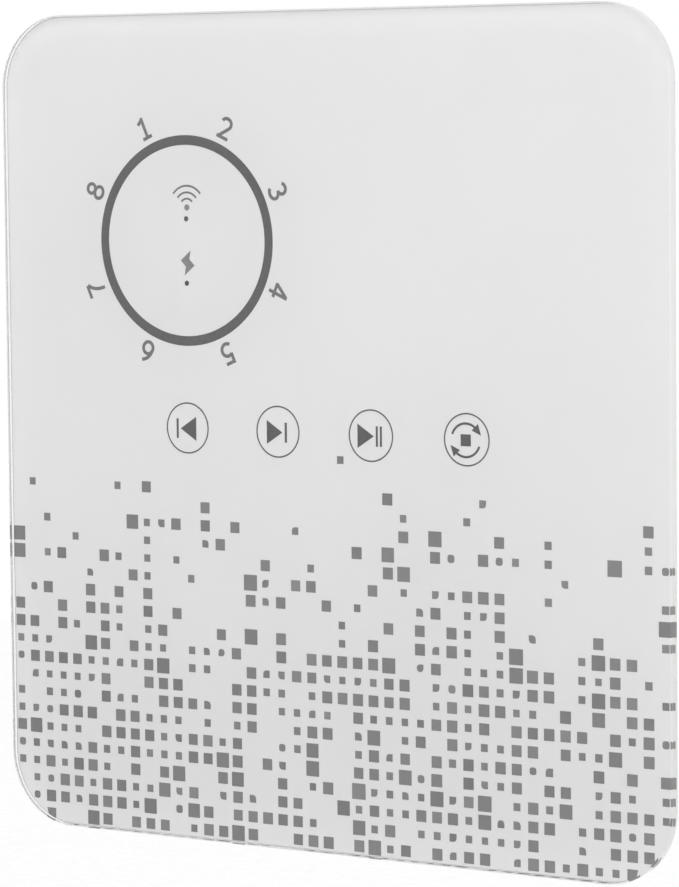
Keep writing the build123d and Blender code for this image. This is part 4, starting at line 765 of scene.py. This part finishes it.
# Closed-cell foam tape: dark and dry, its skin full of fine cells.
foam, tree, shader, place = surface("closed_cell_foam", Roughness=0.9)
cells = add(tree, "TexVoronoi", {"Vector": place, "Scale": 1 / (0.45 * MM)})
two_tone(tree, shader, cells.outputs["Distance"], "#1A1A1B", "#303032", 0.1, 0.7)
raised(tree, shader, cells.outputs["Distance"], 0.06)
dress(foam, "glass_tape")


# ------------------------------------------------------------------ glass front
# A 3 mm slab of tempered low-iron glass with ground and polished arrises.
# The print shows through its face, and again through its polished side.
glass, tree, shader, place = surface(
    "tempered_low_iron_glass", Roughness=0.0, IOR=1.52, Transmission_Weight=1.0)
shader.inputs["Base Color"].default_value = linear("#FEFEFE")
rays = add(tree, "LightPath")
clear = add(tree, "BsdfTransparent", {"Color": linear("#FEFEFE")})
shadow = rays.outputs["Is Shadow Ray"]
mixed = add(tree, "MixShader", {0: shadow, 1: shader.outputs[0], 2: clear.outputs[0]})
tree.links.new(mixed.outputs[0], tree.nodes["Material Output"].inputs["Surface"])
dress(glass, "front_glass")


# ------------------------------------------------------------------ white print
# White screen ink baked onto the back of the glass in two passes, opaque and flat.
# It stops just short of the glass edge and leaves a clear line all round.
PRINT_DEPTH = 0.02           # mm into the glass, so that ink and glass meet without an air gap
FILM_EDGE = 0.3              # mm, the clear line
GLASS_CORNER = 19.0          # mm
film_low, film_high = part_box("print_film")
HALF_WIDTH = (glass_high[0] - glass_low[0]) / 2 / MM - FILM_EDGE
HALF_HEIGHT = (glass_high[2] - glass_low[2]) / 2 / MM - FILM_EDGE
PRINT_CORNER = GLASS_CORNER - FILM_EDGE


def rounded_outline(half_width, half_height, corner, steps=24):
    """Rounded rectangle, counter-clockwise: each corner is centre + corner * (cos a, sin a)."""
    quarter = np.linspace(0, pi / 2, steps)
    signs = np.array([(1, 1), (-1, 1), (-1, -1), (1, -1)], float)
    angle = quarter[None, :] + np.arange(4)[:, None] * pi / 2
    centre = signs * (half_width - corner, half_height - corner)
    arcs = centre[:, None, :] + corner * np.stack([np.cos(angle), np.sin(angle)], axis=-1)
    return arcs.reshape(-1, 2)


def on_panel(flat, depth):
    """Panel millimetres (x, z) and depth into the glass from its back, to metres in the row frame."""
    flat = np.asarray(flat, float)
    placed = np.empty(flat.shape[:-1] + (3,))
    placed[..., 0] = PANEL_X + flat[..., 0] * MM
    placed[..., 1] = GLASS_BACK_Y - depth * MM
    placed[..., 2] = PANEL_Z + flat[..., 1] * MM
    return placed


def prisms(loops, back, front):
    """Flat prisms: K outlines of N points each, carried straight from one depth to another."""
    loops = np.asarray(loops, float)
    count, sides = loops.shape[:2]
    points = np.stack([on_panel(loops, front), on_panel(loops, back)], axis=1)
    start = (np.arange(count) * 2 * sides)[:, None]
    ring = np.arange(sides)
    following = np.roll(ring, -1)
    caps = np.concatenate([start + ring, start + sides + ring[::-1]])
    walls = np.stack([ring, ring + sides, following + sides, following], axis=1)
    walls = (start[:, :, None] + walls[None]).reshape(-1, 4)
    return points.reshape(-1, 3), caps.tolist() + walls.tolist()


def printed(name, shells, ink):
    """A layer of ink on the glass: flat-faced and fixed to the speaker."""
    layer = piece(name, shells, ink, "speaker", smooth=False)
    return layer


# White ink is glossy and nearly even; the squeegee leaves a broad, faint drift in its tone.
white_ink, tree, shader, place = surface("baked_white_screen_ink", Roughness=0.4)
drift = add(tree, "TexNoise", {"Vector": place, "Scale": 1 / (70 * MM), "Detail": 2.0})
two_tone(tree, shader, drift.outputs["Fac"], "#E2E2E2", "#E4E4E4")
white_outline = rounded_outline(HALF_WIDTH, HALF_HEIGHT, PRINT_CORNER)
film_depth = (film_high[1] - film_low[1]) / MM
white_print = printed("white_print", [prisms([white_outline], -film_depth, PRINT_DEPTH)], white_ink)
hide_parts("print_film")


# ------------------------------------------------------------------ printed ring and digits
# Grey screen ink on the glass, under the white: a thick ring for the level, and digits round it.
# Each stroke is a flat ribbon of ink with square ends.
INK_BACK = 0.03              # mm into the glass, in front of the white
INK_FRONT = 0.06
RING_CENTRE = np.array([-42.29, 48.28])
RING_MIDDLE_RADIUS = 25.73
RING_LINE = 2.5
DIGIT_RADIUS = 31.35
DIGIT_LINE = 0.88
DIGIT_SCALE = 1.07
DIGIT_SPREAD = 24.0          # degrees from each of the four axes to the digits beside it
STROKE_STEP = 0.01           # mm of ink by which a crossing stroke stands above the one before


def screen_ink(name, dark, pale):
    """Screen-printed ink: flat grey, with the faint grain that the 0.9 mm drawn mesh leaves."""
    material, tree, shader, place = surface(name, Roughness=0.4)
    screen = add(tree, "TexNoise", {"Vector": place, "Scale": 1 / (0.9 * MM), "Detail": 2.0})
    two_tone(tree, shader, screen.outputs["Fac"], dark, pale)
    return material


def arc(centre, radius, start, stop, steps=40):
    """Points on an ellipse, centre + (rx cos a, rz sin a), for angles in degrees from start to stop."""
    angle = np.radians(np.linspace(start, stop, steps))
    rx, rz = np.broadcast_to(radius, 2)
    return np.asarray(centre, float) + np.column_stack([rx * np.cos(angle), rz * np.sin(angle)])


def ribbon(path, width, closed=False, front=INK_FRONT):
    """A flat bar of ink along a path: point +- width / 2 along the mitred normal, at two depths."""
    path = np.asarray(path, float)
    if closed:
        before, after = path - np.roll(path, 1, axis=0), np.roll(path, -1, axis=0) - path
    else:
        steps = np.diff(path, axis=0)
        before, after = np.vstack([steps[:1], steps]), np.vstack([steps, steps[-1:]])
    before = before / np.linalg.norm(before, axis=1)[:, None]
    after = after / np.linalg.norm(after, axis=1)[:, None]
    tangent = before + after
    tangent = tangent / np.linalg.norm(tangent, axis=1)[:, None]
    normal = np.column_stack([-tangent[:, 1], tangent[:, 0]])
    mitre = np.clip(np.sum(tangent * after, axis=1), 0.5, 1)
    offset = normal * (width / 2 / mitre)[:, None]
    corners = ((offset, front), (offset, INK_BACK), (-offset, INK_BACK), (-offset, front))
    points = np.stack([on_panel(path + aside, depth) for aside, depth in corners], axis=1)
    if not closed:
        return closed_grid(points)
    index = np.arange(points.shape[0] * 4).reshape(-1, 4)
    beside, following = np.roll(index, -1, axis=1), np.roll(index, -1, axis=0)
    faces = np.stack([index, following, np.roll(beside, -1, axis=0), beside], axis=-1)
    return points.reshape(-1, 3), faces.reshape(-1, 4).tolist()


def digit_strokes(digit):
    """The strokes of one digit before DIGIT_SCALE: about 5.5 mm tall with its ink, centred on its middle."""
    top, low = 2.35, -2.35
    if digit == 1:
        return [[(0.1, top + 0.45), (0.1, low)], [(-1.35, 1.45), (0.15, 2.3)], [(-1.3, low), (1.45, low)]]
    if digit == 2:
        bow = arc((-0.05, 1.05), (1.4, 1.3), 162, -36)
        return [np.vstack([bow, [(-1.2, low)]]), [(-1.75, low), (1.65, low)]]
    if digit == 3:
        return [arc((-0.1, 1.2), (1.3, 1.15), 150, -90), arc((-0.1, -1.15), (1.5, 1.2), 90, -150)]
    if digit == 4:
        slant = [(0.45, top + 0.1), (-1.5, -0.95)]
        return [[(0.6, low - 0.4), (0.6, top + 0.4)], slant, [(-1.9, -1.1), (1.75, -1.1)]]
    if digit == 5:
        bowl = arc((-0.15, -0.85), (1.5, 1.5), 128, -140)
        return [[(-1.0, top + 0.45), (-1.0, 0.2)], [(-1.4, top), (1.35, top)], bowl]
    if digit == 6:
        return [arc((1.45, -0.85), (2.85, 3.4), 176, 107, 24), disc((0, -0.9), (1.4, 1.45))]
    if digit == 7:
        return [[(-1.6, top), (1.75, top)], arc((2.6, -2.8), (3.1, 5.0), 104, 176, 24)]
    return [disc((0, 1.25), (1.15, 1.1)), disc((0, -1.15), (1.45, 1.2))]


def disc(centre, radius, steps=40):
    """One closed circular or oval outline."""
    return arc(centre, radius, 0, 360, steps + 1)[:-1]


def digit_shells():
    """Digits 1 to 8, tops outward, one on each side of the top, right, bottom and left of the ring."""
    shells = []
    for digit in range(1, 9):
        turn = radians(90 * ((digit - 1) // 2) + DIGIT_SPREAD * (-1) ** digit)
        spin = np.array([[np.cos(turn), -np.sin(turn)], [np.sin(turn), np.cos(turn)]])
        middle = RING_CENTRE + DIGIT_RADIUS * np.array([np.sin(turn), np.cos(turn)])
        for order, stroke in enumerate(digit_strokes(digit)):
            path = DIGIT_SCALE * np.asarray(stroke, float) @ spin + middle
            front = INK_FRONT + STROKE_STEP * order
            shells.append(ribbon(path, DIGIT_LINE, closed=len(path) == 40 and digit in (6, 8), front=front))
    return shells


ring_ink = screen_ink("dark_grey_screen_ink", "#494949", "#515151")
ring_path = arc(RING_CENTRE, RING_MIDDLE_RADIUS, 0, 360, 193)[:-1]
printed("printed_ring", [ribbon(ring_path, RING_LINE, closed=True)], ring_ink)
digit_ink = screen_ink("mid_grey_screen_ink", "#636363", "#6D6D6D")
printed("printed_digits", digit_shells(), digit_ink)


# A hairline of pale grey ink along the white's edge is painted shade: it draws the dark line that the
# polished glass edge shows.
EDGE_SHADE_LINE = 0.3            # mm
inset = EDGE_SHADE_LINE / 2
edge_shade_path = rounded_outline(HALF_WIDTH - inset, HALF_HEIGHT - inset, PRINT_CORNER - inset)
# Grey ink for the painted shade line along the edge of the glass.
edge_shade_ink = screen_ink("painted_edge_shade_ink", "#C2C2C2", "#CACACA")
printed("painted_edge_shade_line", [ribbon(edge_shade_path, EDGE_SHADE_LINE, closed=True)], edge_shade_ink)


# ------------------------------------------------------------------ status symbols in the ring
# A wireless symbol and a charge symbol in lighter ink, each above a small dark lamp window.
# The windows are smoked ink, so the lamps behind them stay hidden until they are lit.
WIRELESS_CENTRE = RING_CENTRE + (0.45, 8.65)
BOLT_CENTRE = RING_CENTRE + (0.5, -5.7)
WINDOW_CENTRES = RING_CENTRE + np.array([(0.18, 5.6), (0.17, -10.9)])
WAVE_RADII = (5.4, 3.7, 2.1)
STATUS_LINE = 0.5
DOT_RADIUS = 0.8
WINDOW_RADIUS = 0.68

# The bolt is its own half-turn image: three corners, then the same three turned round.
BOLT_HALF = np.array([(0.95, 3.2), (-2.15, 0.62), (-0.55, -0.95)])
status_ink = screen_ink("light_grey_screen_ink", "#747474", "#7E7E7E")
bolt = prisms([np.vstack([BOLT_HALF, -BOLT_HALF]) + BOLT_CENTRE], INK_BACK, INK_FRONT)
dot = prisms([disc(WIRELESS_CENTRE - (0, 0.15), DOT_RADIUS)], INK_BACK, INK_FRONT)
printed("status_symbols", [bolt, dot], status_ink)
waves = [ribbon(arc(WIRELESS_CENTRE, radius, 38.3, 141.7), STATUS_LINE) for radius in WAVE_RADII]
printed("wireless_waves", waves, digit_ink)
smoked_ink = screen_ink("smoked_window_ink", "#363636", "#404040")
windows = prisms([disc(centre, WINDOW_RADIUS) for centre in WINDOW_CENTRES], INK_BACK, INK_FRONT)
printed("lamp_windows", [windows], smoked_ink)


# ------------------------------------------------------------------ four touch keys
# Each key is a hairline circle round its symbol: previous, next, play or pause, repeat or stop.
# They are print only; the board behind the glass senses the finger.
KEY_PITCH = 28.1
KEY_MIDDLE = np.array([-0.31, 0.15])
KEY_RADIUS = 6.43
KEY_LINE = 0.37
SYMBOL_DROP = (0, 0.15)      # the symbols sit this far below their circles' middles
SHAFT_LINE = 0.58


def bar(x, width, height):
    """Upright rectangle about a middle x."""
    corners = np.array([(-1, -1), (1, -1), (1, 1), (-1, 1)], float)
    return corners * (width / 2, height / 2) + (x, 0)


def triangle(base_x, tip_x, height):
    """Triangle from an upright base to a tip, counter-clockwise."""
    corners = np.array([(base_x, height / 2), (base_x, -height / 2), (tip_x, 0)])
    return corners if tip_x > base_x else corners[::-1]


def arrow_head(angle, radius, size):
    """Triangle on a circle, pointing clockwise at an angle in degrees."""
    outwards = np.array([np.cos(radians(angle)), np.sin(radians(angle))])
    forward = np.array([outwards[1], -outwards[0]])
    shares = np.array([(1.0, 0.0), (-0.35, 0.62), (-0.35, -0.62)]) * size
    return radius * outwards + shares[:, :1] * forward + shares[:, 1:] * outwards


def key_symbol(index):
    """Outlines and stroked paths of one key's symbol, in millimetres from the key's middle."""
    if index == 0:
        return [triangle(2.7, -2.2, 6.2), bar(-3.15, 0.64, 5.07)], []
    if index == 1:
        return [triangle(-3.4, 1.35, 6.1), bar(2.42, 0.68, 5.07)], []
    if index == 2:
        return [triangle(-4.0, 0.87, 6.13), bar(1.77, 0.6, 5.13), bar(2.97, 0.6, 5.13)], []
    arcs = [arc((-0.27, 0), 4.15, 160, 50), arc((-0.27, 0), 4.15, -20, -130)]
    heads = [arrow_head(42, 4.15, 2.0) + (-0.27, 0), arrow_head(-138, 4.15, 2.0) + (-0.27, 0)]
    return [bar(-0.27, 2.93, 2.93)] + heads, arcs


def key_shells():
    """All four keys: the circle as a ribbon, solid symbols as prisms, the arrows' shafts as ribbons."""
    shells = []
    for index in range(4):
        middle = KEY_MIDDLE + ((index - 1.5) * KEY_PITCH, 0)
        shells.append(ribbon(disc(middle, KEY_RADIUS, 96), KEY_LINE, closed=True))
        solid, strokes = key_symbol(index)
        seat = middle - SYMBOL_DROP
        shells += [prisms([loop + seat], INK_BACK, INK_FRONT) for loop in solid]
        shells += [ribbon(path + seat, SHAFT_LINE, front=INK_FRONT + STROKE_STEP) for path in strokes]
    return shells


key_ink = screen_ink("darkest_grey_screen_ink", "#434343", "#4B4B4B")
printed("touch_keys", key_shells(), key_ink)


# ------------------------------------------------------------------ mosaic
# Squares of grey ink on one lattice, packed close at the bottom and thinning out upwards.
# They come in three sizes, and a few of the smallest have a clipped or rounded corner.
CELL = 4.645                 # mm from tile to tile
FIRST_COLUMN, LAST_COLUMN = -22, 21
FIRST_ROW, LAST_ROW = 1, 22          # rows below the panel's middle
MOSAIC_SEED = 7


def ease(value):
    """Smooth step from 0 at 0 to 1 at 1."""
    share = np.clip(value, 0, 1)
    return share * share * (3 - 2 * share)


def inside_print(flat):
    """Moves points that lie past the white print's rounded outline onto it."""
    half = np.array([HALF_WIDTH, HALF_HEIGHT])
    flat = np.clip(flat, -half, half)
    centre = half - PRINT_CORNER
    beyond = np.abs(flat) - centre
    length = np.linalg.norm(beyond, axis=-1)
    outside = (beyond > 0).all(axis=-1) & (length > PRINT_CORNER)
    pulled = centre + beyond * (PRINT_CORNER / np.maximum(length, 1e-9))[..., None]
    return np.where(outside[..., None], np.sign(flat) * pulled, flat)


def mosaic_tiles():
    """Lattice places, sides, tones and corner draws of the tiles that are there.

    Chance of a tile = (0.36 * ease((row - 1) / 7) + 0.41 * ease((row - 8.5) / 5)) * hump, and
    hump is a wave across the columns that fades downwards. The side is small, medium or large.
    """
    dice = np.random.default_rng(MOSAIC_SEED)
    columns, rows = np.arange(FIRST_COLUMN, LAST_COLUMN + 1), np.arange(FIRST_ROW, LAST_ROW + 1)
    column, row = np.meshgrid(columns, rows)
    fade = 1 - 0.85 * ease((row - 9) / 5)
    hump = 1 + 0.4 * np.cos(2 * pi * (column + 13.5) / 21.5) * fade
    chance = 0.36 * ease((row - 1) / 7) + 0.41 * ease((row - 8.5) / 5)
    chance = np.where(row == 1, 0.05, chance * hump)
    shown = dice.random(row.shape) < chance
    from_key = (column * CELL - KEY_MIDDLE[0] + 2 * KEY_PITCH) % KEY_PITCH - KEY_PITCH / 2
    shown &= (row > 2) | (np.abs(from_key) > KEY_RADIUS + CELL / 2)
    draw = dice.random(row.shape)
    small_share = np.where(row < 9, 0.6, 0.43)
    large_share = np.where(row < 4, 0.0, 0.09)
    side = np.where(draw < small_share, 0.42, np.where(draw < 1 - large_share, 0.63, 0.82))
    side = side * (1 + 0.03 * dice.standard_normal(row.shape))
    tone = 0.5 + 0.22 * dice.standard_normal(row.shape) - 0.2 * (side > 0.75) + column / 90
    corners = dice.random(row.shape + (4,))
    places = np.stack([(column - 0.03) * CELL, -(row + 0.36) * CELL], axis=-1)
    shown &= np.linalg.norm(inside_print(places) - places, axis=-1) < 0.1 * CELL
    return places[shown], side[shown] * CELL, tone[shown], corners[shown]


def mosaic_loops(places, sides, corners):
    """Twelve points per tile: each corner is cut back by its own share and bulges 0.29 of it."""
    small = sides < 0.5 * CELL
    share = np.where(small[:, None] & (corners < 0.07), 0.42, 0.03)
    rounded = small & (corners[:, 0] > 0.93)
    share = np.where(rounded[:, None], 0.3, share)
    signs = np.array([(1, 1), (-1, 1), (-1, -1), (1, -1)], float)
    first = np.array([(0, 1), (-1, 0), (0, -1), (1, 0)], float)
    last = np.array([(1, 0), (0, 1), (-1, 0), (0, -1)], float)
    cut = (share * sides[:, None])[..., None]
    tip = sides[:, None, None] / 2 * signs[None]
    chain = np.stack([tip - cut * first, tip - 0.29 * cut * signs, tip - cut * last], axis=2)
    return chain.reshape(len(places), 12, 2) + places[:, None, :]


# Mosaic ink: each square a slightly different grey, a little paler towards the right.
mosaic_ink, tree, shader, place = surface("mosaic_screen_ink", Roughness=0.4)
tone = add(tree, "Attribute", attribute_name="tone")
two_tone(tree, shader, tone.outputs["Fac"], "#6E6E6E", "#808080", 0.0, 1.0)
tile_places, tile_sides, tile_tones, tile_corners = mosaic_tiles()
tile_loops = inside_print(mosaic_loops(tile_places, tile_sides, tile_corners))
mosaic = printed("printed_mosaic", [prisms(tile_loops, INK_BACK, INK_FRONT + STROKE_STEP)], mosaic_ink)
tone_attribute = mosaic.data.attributes.new("tone", "FLOAT", "POINT")
tone_attribute.data.foreach_set("value", np.repeat(np.clip(tile_tones, 0, 1), 24).astype(np.float32))
